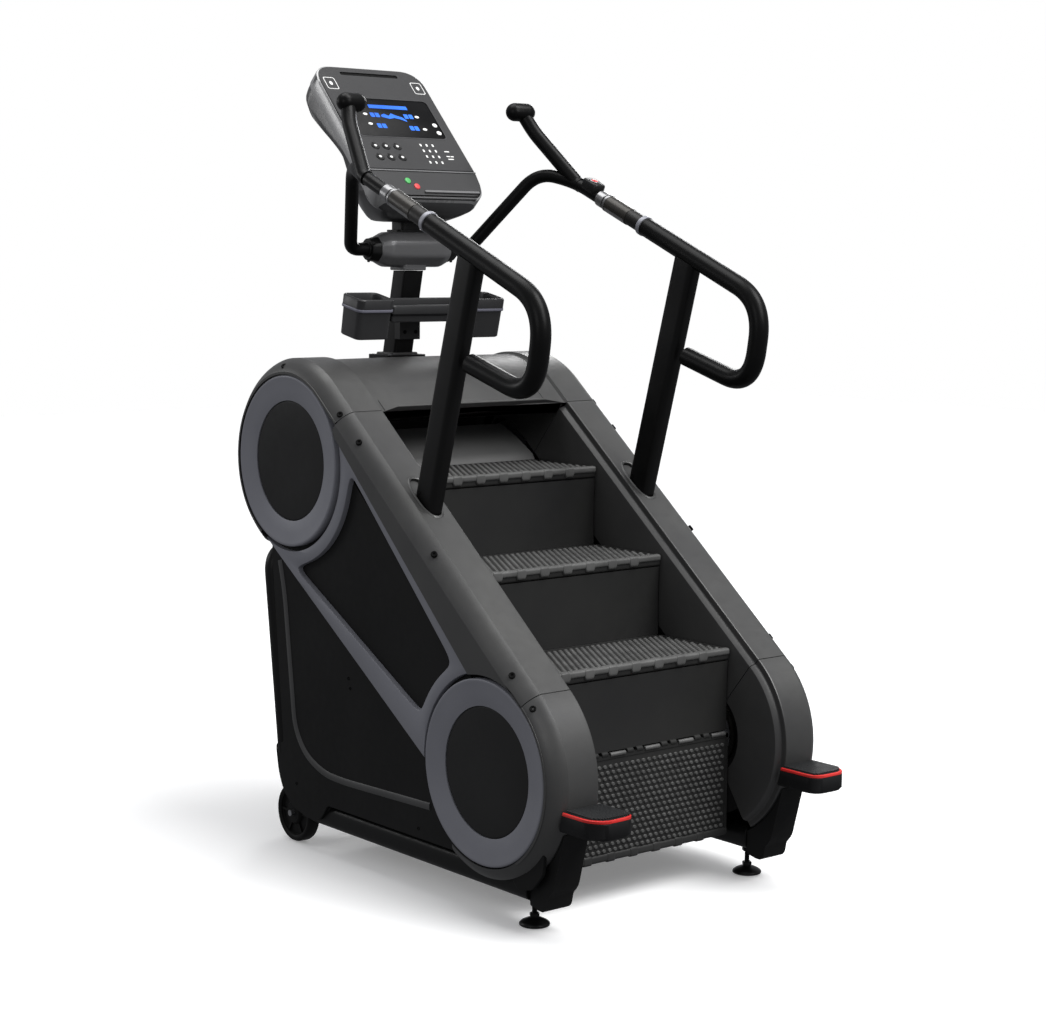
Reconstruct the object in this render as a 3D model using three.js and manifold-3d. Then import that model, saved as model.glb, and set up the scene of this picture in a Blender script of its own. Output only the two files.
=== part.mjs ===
// A revolving-staircase exercise machine, in millimetres: +X is the user's right, +Y is the way
// the user faces, +Z is up. The origin is on the floor, in the middle of the width and depth.
import * as THREE from "three";
import { mergeVertices } from "three/addons/utils/BufferGeometryUtils.js";
import Module from "manifold-3d";

const wasm = await Module();
wasm.setup();

// Staircase
const RISE = 203.2;
const GOING = 251;
const STEP_HALF = 281;
const TREAD_THICK = 30;
const NOSE_OVERHANG = 6;
const RISER_THICK = 8;
const FIRST_NOSE = { y: -442, z: 571 };
const SLOPE = Math.atan2(RISE, GOING);
const ALONG = { y: Math.cos(SLOPE), z: Math.sin(SLOPE) };

// The two turns that the step chains run round
const LOWER_TURN = { y: -360, z: 349 };
const TURN_SPAN = 1036;
const UPPER_TURN = onSlope(TURN_SPAN, 0);
const CHAIN_IN_R = 74;
const CHAIN_OUT_R = 88;
const CHAIN_IN_X = 294;
const CHAIN_OUT_X = 304;
const SHAFT_R = 15;
const PULLEY_R = 118;
const ROTOR_R = 30;
const ROTOR = { y: 318, z: 520 };

// Side housings
const STRIP_IN_X = 302;
const WELL_X = 286;
const STRIP_OUT_X = 388;
const SIDE_X = 427;
const COVER_R = 260;
const SHOULDER_R = 226;
const SKIN = 5;
const SEAM_LOW = 4;
const SEAM_HIGH = 934;
const COVER_END = THREE.MathUtils.degToRad(236);
const SKIRT_END = THREE.MathUtils.degToRad(300);
const RING_R = 217.5;
const DISC_R = 153;
const DISC_X = 413;
const RING_BACK_X = 406;
const TRIM_FACE_X = 419;
const PANEL_IN_X = 396;
const PANEL_OUT_X = 404;

// Base, wheels and feet
const RAIL_IN_X = 304;
const RAIL_OUT_X = 396;
const RAIL_LOW = 70;
const RAIL_HIGH = 130;
const RAIL_FRONT = -485;
const LEG_IN_X = 308;
const LEG_OUT_X = 386;
const FOOT = { x: 344, y: -453 };
const WHEEL = { y: 482, z: 76, r: 76 };

// Handrails, posts, mast and console
const RAIL_X = 344;
const RAIL_TILT = THREE.MathUtils.degToRad(23.2);
const COLLAR = { y: -56, z: 1594 };
const TUBE_R = 17;
const GRIP_TUBE_R = 24;
const POST_HALF_X = 21;
const KNOB = { x: 274, y: 373, z: 1900, r: 24, length: 36 };
const KNOB_HEADING = THREE.MathUtils.degToRad(83);
const MAST = { footY: 553, headY: 503, footZ: 1252, headZ: 1480, halfX: 30, halfY: 27 };
const CUP = { x: 183, y: 428, footZ: 1318, topZ: 1424, halfX: 55, halfY: 45, corner: 18 };
const TRAY_TILT = THREE.MathUtils.degToRad(12);
const TRAY_PIVOT = { y: 470, z: 1410 };
const NECK = { y: 495, z: 1535, r: 47, half: 143 };
const FACE_LOW = { y: 437, z: 1739 };
const FACE_TILT = THREE.MathUtils.degToRad(46.7);
const FACE_LENGTH = 385;
const CONSOLE_HALF = 175;
const WINDOW = { half: 142, low: 124, high: 266, corner: 14 };
const KEY_R = 9;
const LEDGE_LEAN = THREE.MathUtils.degToRad(32.8);
const START_KEY = { x: -65, down: 33 };
const STOP_KEY = { x: -42, down: 50 };

const GAP = 0.3;
const MIDDLE_OF_DEPTH = 13;

const FINISH = {
  shroud: { color: 0x55565a, metalness: 0.35, roughness: 0.42 },
  slate: { color: 0x6a6b78, metalness: 0.25, roughness: 0.45 },
  darkPanel: { color: 0x1b1b1c, metalness: 0.1, roughness: 0.6 },
  blackSteel: { color: 0x111112, metalness: 0.5, roughness: 0.38 },
  step: { color: 0x2a2a2b, metalness: 0.1, roughness: 0.6 },
  rubber: { color: 0x161616, metalness: 0, roughness: 0.8 },
  console: { color: 0x4b4c4f, metalness: 0.2, roughness: 0.45 },
  screen: { color: 0x05070b, metalness: 0, roughness: 0.12 },
  bareSteel: { color: 0xa7a9ac, metalness: 0.9, roughness: 0.3 },
  green: { color: 0x3c9a4c, metalness: 0, roughness: 0.5 },
  red: { color: 0xc8343a, metalness: 0, roughness: 0.5 },
};

const machine = new THREE.Group();

function onSlope(along, out) {
  return {
    y: LOWER_TURN.y + along * ALONG.y - out * ALONG.z,
    z: LOWER_TURN.z + along * ALONG.z + out * ALONG.y,
  };
}

function onFace(up, out) {
  return {
    y: FACE_LOW.y + up * Math.cos(FACE_TILT) - out * Math.sin(FACE_TILT),
    z: FACE_LOW.z + up * Math.sin(FACE_TILT) + out * Math.cos(FACE_TILT),
  };
}

// ---- solids ----

function toSolid(geometry) {
  const bare = geometry.index ? geometry.toNonIndexed() : geometry.clone();
  bare.deleteAttribute("normal");
  bare.deleteAttribute("uv");
  const merged = mergeVertices(bare, 1e-3);
  return new wasm.Manifold(
    new wasm.Mesh({
      numProp: 3,
      vertProperties: merged.attributes.position.array,
      triVerts: new Uint32Array(merged.index.array),
    }),
  );
}

function toGeometry(solid) {
  const mesh = solid.getMesh();
  const geometry = new THREE.BufferGeometry();
  const positions = new Float32Array(mesh.vertProperties);
  geometry.setAttribute("position", new THREE.BufferAttribute(positions, 3));
  geometry.setIndex(new THREE.BufferAttribute(new Uint32Array(mesh.triVerts), 1));
  geometry.computeVertexNormals();
  return geometry;
}

function join(...geometries) {
  return toGeometry(geometries.map(toSolid).reduce((all, one) => all.add(one)));
}

function cut(geometry, ...tools) {
  return toGeometry(tools.map(toSolid).reduce((left, tool) => left.subtract(tool), toSolid(geometry)));
}

function common(...geometries) {
  return toGeometry(geometries.map(toSolid).reduce((all, one) => all.intersect(one)));
}

// Turns the faces of a mirrored geometry round again.
function flip(geometry) {
  const position = geometry.attributes.position;
  const swapped = new THREE.Vector3();
  const kept = new THREE.Vector3();
  for (let i = 0; i < position.count; i += 3) {
    kept.fromBufferAttribute(position, i + 1);
    swapped.fromBufferAttribute(position, i + 2);
    position.setXYZ(i + 1, swapped.x, swapped.y, swapped.z);
    position.setXYZ(i + 2, kept.x, kept.y, kept.z);
  }
  return geometry;
}

// A box between two corners.
function block(low, high) {
  const size = high.map((value, i) => value - low[i]);
  const middle = high.map((value, i) => (value + low[i]) / 2);
  return new THREE.BoxGeometry(...size).translate(...middle);
}

// A flat outline of { y, z } points, thick along X.
function plate(outline, lowX, highX) {
  const shape = new THREE.Shape(outline.map((p) => new THREE.Vector2(p.y, p.z)));
  const geometry = new THREE.ExtrudeGeometry(shape, { depth: highX - lowX, bevelEnabled: false });
  const axes = new THREE.Matrix4().makeBasis(
    new THREE.Vector3(0, 1, 0),
    new THREE.Vector3(0, 0, 1),
    new THREE.Vector3(1, 0, 0),
  );
  return geometry.applyMatrix4(axes).translate(lowX, 0, 0);
}

// A closed profile of [radius, x] points turned round a line along X.
function turned(profile, centre, segments) {
  const points = profile.map(([r, x]) => new THREE.Vector2(r, x));
  if (THREE.ShapeUtils.area(points) < 0) points.reverse();
  if (points[0].x > 0) points.push(points[0].clone());
  return new THREE.LatheGeometry(points, segments)
    .rotateZ(-Math.PI / 2)
    .translate(0, centre.y, centre.z);
}

// A round bar from one x to another.
function bar(radius, lowX, highX, centre, segments = 32) {
  return new THREE.CylinderGeometry(radius, radius, highX - lowX, segments)
    .rotateZ(-Math.PI / 2)
    .translate((lowX + highX) / 2, centre.y, centre.z);
}

// An upright round bar.
function stem(radius, x, y, lowZ, highZ, segments = 20) {
  return new THREE.CylinderGeometry(radius, radius, highZ - lowZ, segments)
    .rotateX(Math.PI / 2)
    .translate(x, y, (lowZ + highZ) / 2);
}

// A closed profile of [radius, z] points turned round an upright line.
function turnedUpright(profile, x, y, segments) {
  const points = profile.map(([r, z]) => new THREE.Vector2(r, z));
  return new THREE.LatheGeometry(points, segments).rotateX(Math.PI / 2).translate(x, y, 0);
}

// A cross-section of [x, out] points run straight up the slope.
function slopeRun(section, from, to) {
  const shape = new THREE.Shape(section.map(([x, out]) => new THREE.Vector2(out, x)));
  const geometry = new THREE.ExtrudeGeometry(shape, { depth: to - from, bevelEnabled: false });
  const start = onSlope(from, 0);
  const axes = new THREE.Matrix4().makeBasis(
    new THREE.Vector3(0, -ALONG.z, ALONG.y),
    new THREE.Vector3(1, 0, 0),
    new THREE.Vector3(0, ALONG.y, ALONG.z),
  );
  return geometry.applyMatrix4(axes).translate(0, start.y, start.z);
}

// A wedge that keeps the angles from one to another round a centre.
function wedge(centre, from, to, lowX, highX) {
  const reach = 900;
  const outline = [centre];
  const steps = Math.ceil((to - from) / 0.6);
  for (let i = 0; i <= steps; i++) {
    const angle = from + ((to - from) * i) / steps;
    outline.push({ y: centre.y + reach * Math.cos(angle), z: centre.z + reach * Math.sin(angle) });
  }
  return plate(outline, lowX, highX);
}

// The outline of a loop round two circles.
function loopOutline(a, radiusA, b, radiusB, steps) {
  const apart = Math.hypot(b.y - a.y, b.z - a.z);
  const heading = Math.atan2(b.z - a.z, b.y - a.y);
  const spread = Math.acos((radiusA - radiusB) / apart);
  const outline = [];
  const sweep = (centre, radius, from, to) => {
    for (let i = 0; i <= steps; i++) {
      const angle = from + ((to - from) * i) / steps;
      outline.push({ y: centre.y + radius * Math.cos(angle), z: centre.z + radius * Math.sin(angle) });
    }
  };
  sweep(a, radiusA, heading + spread, heading + 2 * Math.PI - spread);
  sweep(b, radiusB, heading - spread, heading + spread);
  return outline;
}

// A path through corner points, rounded at each inner corner.
function roundedPath(corners, radius) {
  const path = new THREE.CurvePath();
  let from = corners[0];
  for (let i = 1; i < corners.length - 1; i++) {
    const corner = corners[i];
    const before = corners[i - 1].clone().sub(corner);
    const after = corners[i + 1].clone().sub(corner);
    const reach = Math.min(radius, before.length() * 0.48, after.length() * 0.48);
    const enter = corner.clone().addScaledVector(before.normalize(), reach);
    const leave = corner.clone().addScaledVector(after.normalize(), reach);
    path.add(new THREE.LineCurve3(from, enter));
    path.add(new THREE.QuadraticBezierCurve3(enter, corner, leave));
    from = leave;
  }
  path.add(new THREE.LineCurve3(from, corners[corners.length - 1]));
  return path;
}

function tube(corners, tubeRadius, bendRadius, steps, sides = 10) {
  const shape = new THREE.Shape();
  for (let i = 0; i < sides; i++) {
    const angle = (2 * Math.PI * i) / sides;
    const x = tubeRadius * Math.cos(angle);
    const y = tubeRadius * Math.sin(angle);
    if (i === 0) shape.moveTo(x, y);
    else shape.lineTo(x, y);
  }
  const extrudePath = roundedPath(corners, bendRadius);
  return new THREE.ExtrudeGeometry(shape, { steps, extrudePath, bevelEnabled: false });
}

// ---- placing ----

function add(name, geometry, finish) {
  const mesh = new THREE.Mesh(geometry, new THREE.MeshStandardMaterial(FINISH[finish]));
  mesh.name = name;
  machine.add(mesh);
  return mesh;
}

// A right-hand piece and its mirror image.
function addPair(name, geometry, finish) {
  add("right_" + name, geometry, finish);
  add("left_" + name, geometry, finish).scale.x = -1;
}

// ---- side housings ----

// The strip beside the steps, its rounded shoulder and its inner wall, as [x, out] points.
function coverSection(wallFoot, sideFoot) {
  const inner = COVER_R - SKIN;
  return [
    [WELL_X, wallFoot],
    [WELL_X, COVER_R - 18],
    [STRIP_IN_X, COVER_R],
    [STRIP_OUT_X, COVER_R],
    [STRIP_OUT_X + 20, COVER_R - 6],
    [SIDE_X - 5, COVER_R - 19],
    [SIDE_X, SHOULDER_R],
    [SIDE_X, sideFoot],
    [SIDE_X - SKIN, sideFoot],
    [SIDE_X - SKIN, SHOULDER_R],
    [SIDE_X - 10, inner - 16],
    [STRIP_OUT_X + 16, inner - 5],
    [STRIP_OUT_X - 2, inner],
    [STRIP_IN_X + 3, inner],
    [WELL_X + SKIN, COVER_R - 20],
    [WELL_X + SKIN, wallFoot],
  ];
}

// The long cover beside the steps. Its side ends above the trim frame, and the post stands in it.
function slopeCover() {
  const run = slopeRun(coverSection(76, 100), SEAM_LOW + 1, SEAM_HIGH - 1);
  const trimOutline = [onSlope(1000, 199), onSlope(1000, 0), onSlope(-50, 0), onSlope(-50, 118)];
  const trimClear = plate(trimOutline, 405, 430);
  const lowerClear = bar(SHOULDER_R, 405, 430, LOWER_TURN, 48);
  const upperClear = bar(SHOULDER_R, 405, 430, UPPER_TURN, 48);
  const socket = plate(postOutline(10), RAIL_X - POST_HALF_X - 1, RAIL_X + POST_HALF_X + 1);
  return cut(run, trimClear, lowerClear, upperClear, socket);
}

// The cover round the bottom turn, with the skirt that runs on under the ring.
function lowerCover() {
  const section = coverSection(110, SHOULDER_R - 1);
  const whole = turned(section.map(([x, out]) => [out, x]), LOWER_TURN, 44);
  const from = SLOPE + Math.PI / 2;
  const arc = common(whole, wedge(LOWER_TURN, from, COVER_END, 280, 430));
  const skirtProfile = [
    [SHOULDER_R, 408],
    [SHOULDER_R, SIDE_X],
    [236, SIDE_X - 1],
    [248, SIDE_X - 12],
    [248, 408],
  ];
  const skirtWhole = turned(skirtProfile, LOWER_TURN, 44);
  const skirt = common(skirtWhole, wedge(LOWER_TURN, COVER_END - 0.1, SKIRT_END, 280, 430));
  const wallProfile = [
    [110, WELL_X],
    [110, WELL_X + SKIN],
    [207, WELL_X + SKIN],
    [207, WELL_X],
  ];
  const wallWhole = turned(wallProfile, LOWER_TURN, 44);
  const wallEnd = common(wallWhole, wedge(LOWER_TURN, COVER_END - 0.1, SKIRT_END, 280, 300));
  return join(arc, skirt, wallEnd);
}

// The hood over the top turn, right across the machine.
function crownHood() {
  const outer = [
    [0, -SIDE_X],
    [SHOULDER_R, -SIDE_X],
    [COVER_R - 19, -SIDE_X + 5],
    [COVER_R - 6, -STRIP_OUT_X - 20],
    [COVER_R, -STRIP_OUT_X],
    [COVER_R, STRIP_OUT_X],
    [COVER_R - 6, STRIP_OUT_X + 20],
    [COVER_R - 19, SIDE_X - 5],
    [SHOULDER_R, SIDE_X],
    [0, SIDE_X],
  ];
  const inner = [
    [0, -SIDE_X + SKIN],
    [SHOULDER_R, -SIDE_X + SKIN],
    [COVER_R - 21, -SIDE_X + 10],
    [COVER_R - SKIN, -STRIP_OUT_X + 2],
    [COVER_R - SKIN, STRIP_OUT_X - 2],
    [COVER_R - 21, SIDE_X - 10],
    [SHOULDER_R, SIDE_X - SKIN],
    [0, SIDE_X - SKIN],
  ];
  const drum = cut(turned(outer, UPPER_TURN, 44), turned(inner, UPPER_TURN, 44));
  const ends = bar(SHOULDER_R, -440, 440, UPPER_TURN, 44);
  const keep = wedge(UPPER_TURN, THREE.MathUtils.degToRad(-50), SLOPE + Math.PI / 2, -440, 440);
  const arc = common(cut(drum, ends), keep);
  const section = [
    [-STRIP_IN_X, COVER_R],
    [STRIP_IN_X, COVER_R],
    [STRIP_IN_X, COVER_R - SKIN],
    [-STRIP_IN_X, COVER_R - SKIN],
  ];
  const lip = slopeRun(section, SEAM_HIGH + 22, TURN_SPAN + 1);
  const cheek = slopeRun(coverSection(150, SHOULDER_R), SEAM_HIGH, TURN_SPAN + 1);
  const otherCheek = flip(cheek.clone().scale(-1, 1, 1));
  const nearRing = bar(SHOULDER_R, 405, 440, UPPER_TURN, 44);
  const farRing = bar(SHOULDER_R, -440, -405, UPPER_TURN, 44);
  return cut(join(arc, lip, cheek, otherCheek), nearRing, farRing);
}

// A slate ring that slopes in to the disc set back inside it.
function ringCap(centre) {
  const profile = [
    [0, RING_BACK_X],
    [RING_R, RING_BACK_X],
    [RING_R, SIDE_X - 2],
    [RING_R - 2, SIDE_X],
    [DISC_R, DISC_X],
    [0, DISC_X],
  ];
  return turned(profile, centre, 40);
}

// The slate frame between the two rings, open over the side panel.
function trimFrame() {
  const outer = [onSlope(1000, 197), onSlope(140, 130.5), onSlope(140, -147), onSlope(1000, -226)];
  const window = [onSlope(1000, 186), onSlope(140, 95), onSlope(140, -64), onSlope(1000, -222)];
  const clearUpper = bar(SHOULDER_R + 4, 400, 430, UPPER_TURN, 48);
  const clearLower = bar(SHOULDER_R + 4, 400, 430, LOWER_TURN, 48);
  const opening = cut(
    plate(window, 400, 430),
    bar(266, 395, 435, UPPER_TURN, 48),
    bar(262, 395, 435, LOWER_TURN, 48),
  );
  return cut(plate(outer, PANEL_OUT_X + GAP, TRIM_FACE_X), clearUpper, clearLower, opening);
}

// The dark side of the machine, with the fender over the transport wheel.
function sidePanel() {
  const outline = [
    { y: -400, z: 134 },
    { y: 300, z: 134 },
    { y: 400, z: 160 },
    { y: 515, z: 256 },
    { y: 566, z: 745 },
    onSlope(1010, -190),
    onSlope(1040, 150),
    onSlope(-40, 110),
    onSlope(-190, -40),
  ];
  const fenderOutline = [
    { y: 285, z: 82 },
    { y: 520, z: 82 },
    { y: 548, z: 256 },
    { y: 285, z: 256 },
  ];
  const fender = plate(fenderOutline, 341, PANEL_OUT_X);
  const wheelWell = bar(WHEEL.r + 8, 330, PANEL_OUT_X - 4, WHEEL, 40);
  const sideOpening = bar(100, 330, 430, { y: WHEEL.y + 40, z: WHEEL.z - 20 }, 40);
  const railClear = block([300, 200, 60], [RAIL_OUT_X + GAP, 400, RAIL_HIGH + GAP]);
  const tubeClear = tube(rearHoop(), 27, 60, 32);
  const body = join(plate(outline, PANEL_IN_X, PANEL_OUT_X), fender);
  return cut(body, wheelWell, sideOpening, railClear, tubeClear);
}

// ---- frame ----

function rearHoop() {
  const side = 382;
  return [
    new THREE.Vector3(-side, 518, 262),
    new THREE.Vector3(-side, 580, 756),
    new THREE.Vector3(side, 580, 756),
    new THREE.Vector3(side, 518, 262),
  ];
}

function baseFrame() {
  const rails = [-1, 1].map((side) => {
    const xs = [side * RAIL_IN_X, side * RAIL_OUT_X].sort((a, b) => a - b);
    return block([xs[0], RAIL_FRONT, RAIL_LOW], [xs[1], 394, RAIL_HIGH]);
  });
  const brackets = [-1, 1].map((side) => {
    const xs = [side * RAIL_IN_X, side * 336].sort((a, b) => a - b);
    return block([xs[0], 390, 50], [xs[1], 510, RAIL_HIGH]);
  });
  const front = block([-RAIL_IN_X - 1, -372, 92], [RAIL_IN_X + 1, -322, RAIL_HIGH]);
  const rear = block([-RAIL_IN_X - 1, 330, 72], [RAIL_IN_X + 1, 380, RAIL_HIGH]);
  const axleHole = bar(8.4, -400, 400, WHEEL, 24);
  const footHoles = [-1, 1].map((side) => stem(7, side * FOOT.x, FOOT.y, 60, 140));
  return cut(join(...rails, ...brackets, front, rear), axleHole, ...footHoles);
}

// The steel plate that carries the shafts on one side.
function sideFrame() {
  const beam = [onSlope(-60, -45), onSlope(1090, -45), onSlope(1090, 45), onSlope(-60, 45)];
  const frontLeg = [
    { y: -400, z: RAIL_HIGH + GAP },
    { y: -330, z: RAIL_HIGH + GAP },
    { y: -310, z: 360 },
    { y: -400, z: 340 },
  ];
  const rearLeg = [
    { y: 300, z: RAIL_HIGH + GAP },
    { y: 380, z: RAIL_HIGH + GAP },
    { y: 470, z: 990 },
    { y: 390, z: 960 },
  ];
  const lowX = 308;
  const highX = 314;
  const parts = [beam, frontLeg, rearLeg].map((outline) => plate(outline, lowX, highX));
  const holes = [LOWER_TURN, UPPER_TURN].map((centre) => bar(SHAFT_R + 0.4, 300, 320, centre, 32));
  return cut(join(...parts), ...holes);
}

function addFrame() {
  add("base_frame", baseFrame(), "blackSteel");
  addPair("side_frame", sideFrame(), "blackSteel");
  add("rear_hoop", tube(rearHoop(), 23, 60, 32), "blackSteel");
  const back = [
    { y: 506, z: 262 },
    { y: 510, z: 262 },
    { y: 564, z: 726 },
    { y: 560, z: 726 },
  ];
  add("rear_panel", plate(back, -352, 352), "darkPanel");
  add("wheel_axle", bar(8, -396, 396, WHEEL, 20), "bareSteel");
  const wheelProfile = [
    [8.4, 350],
    [28, 350],
    [32, 356],
    [60, 356],
    [64, 350],
    [WHEEL.r - 4, 350],
    [WHEEL.r, 356],
    [WHEEL.r, 380],
    [WHEEL.r - 4, 386],
    [64, 386],
    [60, 380],
    [32, 380],
    [28, 386],
    [8.4, 386],
  ];
  addPair("transport_wheel", turned(wheelProfile, WHEEL, 24), "rubber");
}

// The black cover at the foot of each side, in front of the rail's end.
function frontLeg() {
  const outline = [
    { y: RAIL_FRONT - GAP, z: 62 },
    { y: RAIL_FRONT - GAP, z: RAIL_HIGH + GAP },
    { y: -470, z: RAIL_HIGH + GAP },
    { y: -560, z: 257 },
    { y: -604, z: 257 },
    { y: -598, z: 235 },
    { y: -562, z: 108 },
    { y: -547, z: 92 },
    { y: -543, z: 66 },
    { y: -533, z: 55 },
    { y: -515, z: 56 },
  ];
  return cut(plate(outline, LEG_IN_X, LEG_OUT_X), bar(COVER_R + 2, 300, 420, LOWER_TURN, 72));
}

// The step-off pad in front of each side housing.
function footPad() {
  const outline = new THREE.Shape();
  outline.moveTo(286, -590);
  outline.lineTo(286, -700);
  outline.quadraticCurveTo(286, -730, 316, -731);
  outline.lineTo(362, -728);
  outline.quadraticCurveTo(400, -722, 402, -680);
  outline.lineTo(404, -590);
  outline.closePath();
  const slab = new THREE.ExtrudeGeometry(outline, { depth: 50, bevelEnabled: false, curveSegments: 6 });
  slab.translate(0, 0, 260);
  return cut(slab, bar(COVER_R + GAP, 200, 450, LOWER_TURN, 96));
}

// A levelling foot: domed disc, nut and threaded stem.
function levellingFoot() {
  const profile = [
    [0, 0],
    [36, 0],
    [36, 6],
    [28, 13],
    [12, 18],
    [12, 26],
    [6, 28],
    [6, 118],
    [0, 118],
  ];
  return turnedUpright(profile, FOOT.x, FOOT.y, 20);
}

// ---- staircase ----

// A tread with its rounded nose at { y, z } and its back edge under the next riser.
function treadOutline(nose) {
  const depth = GOING + NOSE_OVERHANG - GAP;
  return [
    { y: nose.y + depth, z: nose.z },
    { y: nose.y + 6, z: nose.z },
    { y: nose.y + 1.5, z: nose.z - 2 },
    { y: nose.y, z: nose.z - 7 },
    { y: nose.y + 1, z: nose.z - TREAD_THICK + 4 },
    { y: nose.y + 5, z: nose.z - TREAD_THICK },
    { y: nose.y + depth, z: nose.z - TREAD_THICK },
  ];
}

function addStaircase() {
  const levels = 3;
  for (let i = 0; i < levels; i++) {
    const nose = { y: FIRST_NOSE.y + i * GOING, z: FIRST_NOSE.z + i * RISE };
    add("tread_" + (i + 2), plate(treadOutline(nose), -STEP_HALF, STEP_HALF), "step");
  }
  for (let i = 0; i < levels; i++) {
    const face = FIRST_NOSE.y + i * GOING + NOSE_OVERHANG;
    const top = FIRST_NOSE.z + i * RISE - TREAD_THICK - GAP;
    const foot = FIRST_NOSE.z + (i - 1) * RISE + GAP;
    const low = [-STEP_HALF, face, foot];
    add("riser_" + (i + 2), block(low, [STEP_HALF, face + RISER_THICK, top]), "step");
  }
  add("riser_5", leaningRiser(), "step");
  // The lowest tread hangs from the foot of its riser, with its top turned to the user.
  const hinge = { y: FIRST_NOSE.y, z: FIRST_NOSE.z - RISE - 6 };
  const hanging = treadOutline({ y: 0, z: 0 }).map((p) => ({
    y: hinge.y - p.z,
    z: hinge.z - GOING - NOSE_OVERHANG + p.y,
  }));
  add("tread_1", plate(hanging, -STEP_HALF, STEP_HALF), "step");
  add("return_flight", returnFlight(), "step");
}

// The top riser, which already leans back over the top turn.
function leaningRiser() {
  const front = [
    { y: 309, z: FIRST_NOSE.z + 2 * RISE + GAP + 0.3 },
    { y: 345, z: 1008 },
    { y: 390, z: 1034 },
    { y: 434, z: 1056 },
    { y: 455, z: 1065 },
  ];
  const back = front.map((p) => ({ y: p.y + 4, z: p.z - RISER_THICK + 1 }));
  back[0] = { y: front[0].y + 9, z: front[0].z };
  return plate([...front, ...back.reverse()], -STEP_HALF, STEP_HALF);
}

// The steps on their way back up underneath, hinged flat into a shallow zigzag.
function returnFlight() {
  const start = 190;
  const period = Math.hypot(RISE, GOING);
  const upper = [];
  const lower = [];
  const folds = 4;
  for (let i = 0; i <= folds; i++) {
    const along = start + (i * period) / 2;
    const out = i % 2 === 0 ? -96 : -160;
    upper.push(onSlope(along, out));
    lower.push(onSlope(along, out - 12));
  }
  return plate([...upper, ...lower.reverse()], -STEP_HALF, STEP_HALF);
}

// ---- drive ----

function chainBand() {
  const outer = loopOutline(LOWER_TURN, CHAIN_OUT_R, UPPER_TURN, CHAIN_OUT_R, 14);
  const inner = loopOutline(LOWER_TURN, CHAIN_IN_R, UPPER_TURN, CHAIN_IN_R, 14);
  return cut(plate(outer, CHAIN_IN_X, CHAIN_OUT_X), plate(inner, CHAIN_IN_X - 4, CHAIN_OUT_X + 6));
}

function addDrive() {
  const sprocketR = CHAIN_IN_R - 1;
  const shaftProfile = [
    [0, -324],
    [SHAFT_R, -324],
    [SHAFT_R, -CHAIN_OUT_X + 1],
    [sprocketR, -CHAIN_OUT_X + 1],
    [sprocketR, -CHAIN_IN_X - 1],
    [SHAFT_R, -CHAIN_IN_X - 1],
    [SHAFT_R, CHAIN_IN_X + 1],
    [sprocketR, CHAIN_IN_X + 1],
    [sprocketR, CHAIN_OUT_X - 1],
    [SHAFT_R, CHAIN_OUT_X - 1],
    [SHAFT_R, 322],
  ];
  const idlerProfile = [...shaftProfile, [0, 322]];
  const driveProfile = [...shaftProfile, [PULLEY_R, 322], [PULLEY_R, 344], [0, 344]];
  add("idler_shaft", turned(idlerProfile, LOWER_TURN, 24), "bareSteel");
  add("drive_shaft", turned(driveProfile, UPPER_TURN, 24), "bareSteel");
  addPair("step_chain", chainBand(), "blackSteel");
  const belt = cut(
    plate(loopOutline(UPPER_TURN, PULLEY_R + 5, ROTOR, ROTOR_R + 5, 16), 324, 342),
    plate(loopOutline(UPPER_TURN, PULLEY_R + 1, ROTOR, ROTOR_R + 1, 16), 320, 346),
  );
  add("drive_belt", belt, "rubber");
  const rotorProfile = [
    [0, 322],
    [ROTOR_R, 322],
    [ROTOR_R, 344],
    [8, 344],
    [8, 352],
    [0, 352],
  ];
  add("alternator_rotor", turned(rotorProfile, ROTOR, 28), "bareSteel");
  add("alternator", bar(58, 353, 394, ROTOR, 36), "blackSteel");
}

// ---- handrails, posts and neck ----

// A point on the handrail's straight stretch, measured from the collar towards the console.
function onRail(along, out = 0) {
  return {
    y: COLLAR.y + along * Math.cos(RAIL_TILT) - out * Math.sin(RAIL_TILT),
    z: COLLAR.z + along * Math.sin(RAIL_TILT) + out * Math.cos(RAIL_TILT),
  };
}

function at(x, p) {
  return new THREE.Vector3(x, p.y, p.z);
}

// The post's outline: it leans towards the user, cut along the strip and under the rail.
function postOutline(extra = 0) {
  const half = 38 + (extra ? 1 : 0);
  const foot = { y: -45, z: 926 };
  const top = { y: -206, z: 1510 };
  const run = Math.hypot(top.y - foot.y, top.z - foot.z);
  const lean = { y: (top.y - foot.y) / run, z: (top.z - foot.z) / run };
  const meet = (side, level, tilt) => {
    const y0 = foot.y + side * half;
    const t = (level.z - foot.z + (y0 - level.y) * Math.tan(tilt)) / (lean.z - lean.y * Math.tan(tilt));
    return { y: y0 + t * lean.y, z: foot.z + t * lean.z };
  };
  const seat = onSlope(500, COVER_R - 8 - extra);
  const underRail = onRail(0, -GRIP_TUBE_R - GAP);
  return [
    meet(-1, seat, SLOPE),
    meet(1, seat, SLOPE),
    meet(1, underRail, RAIL_TILT),
    meet(-1, underRail, RAIL_TILT),
  ];
}

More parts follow.
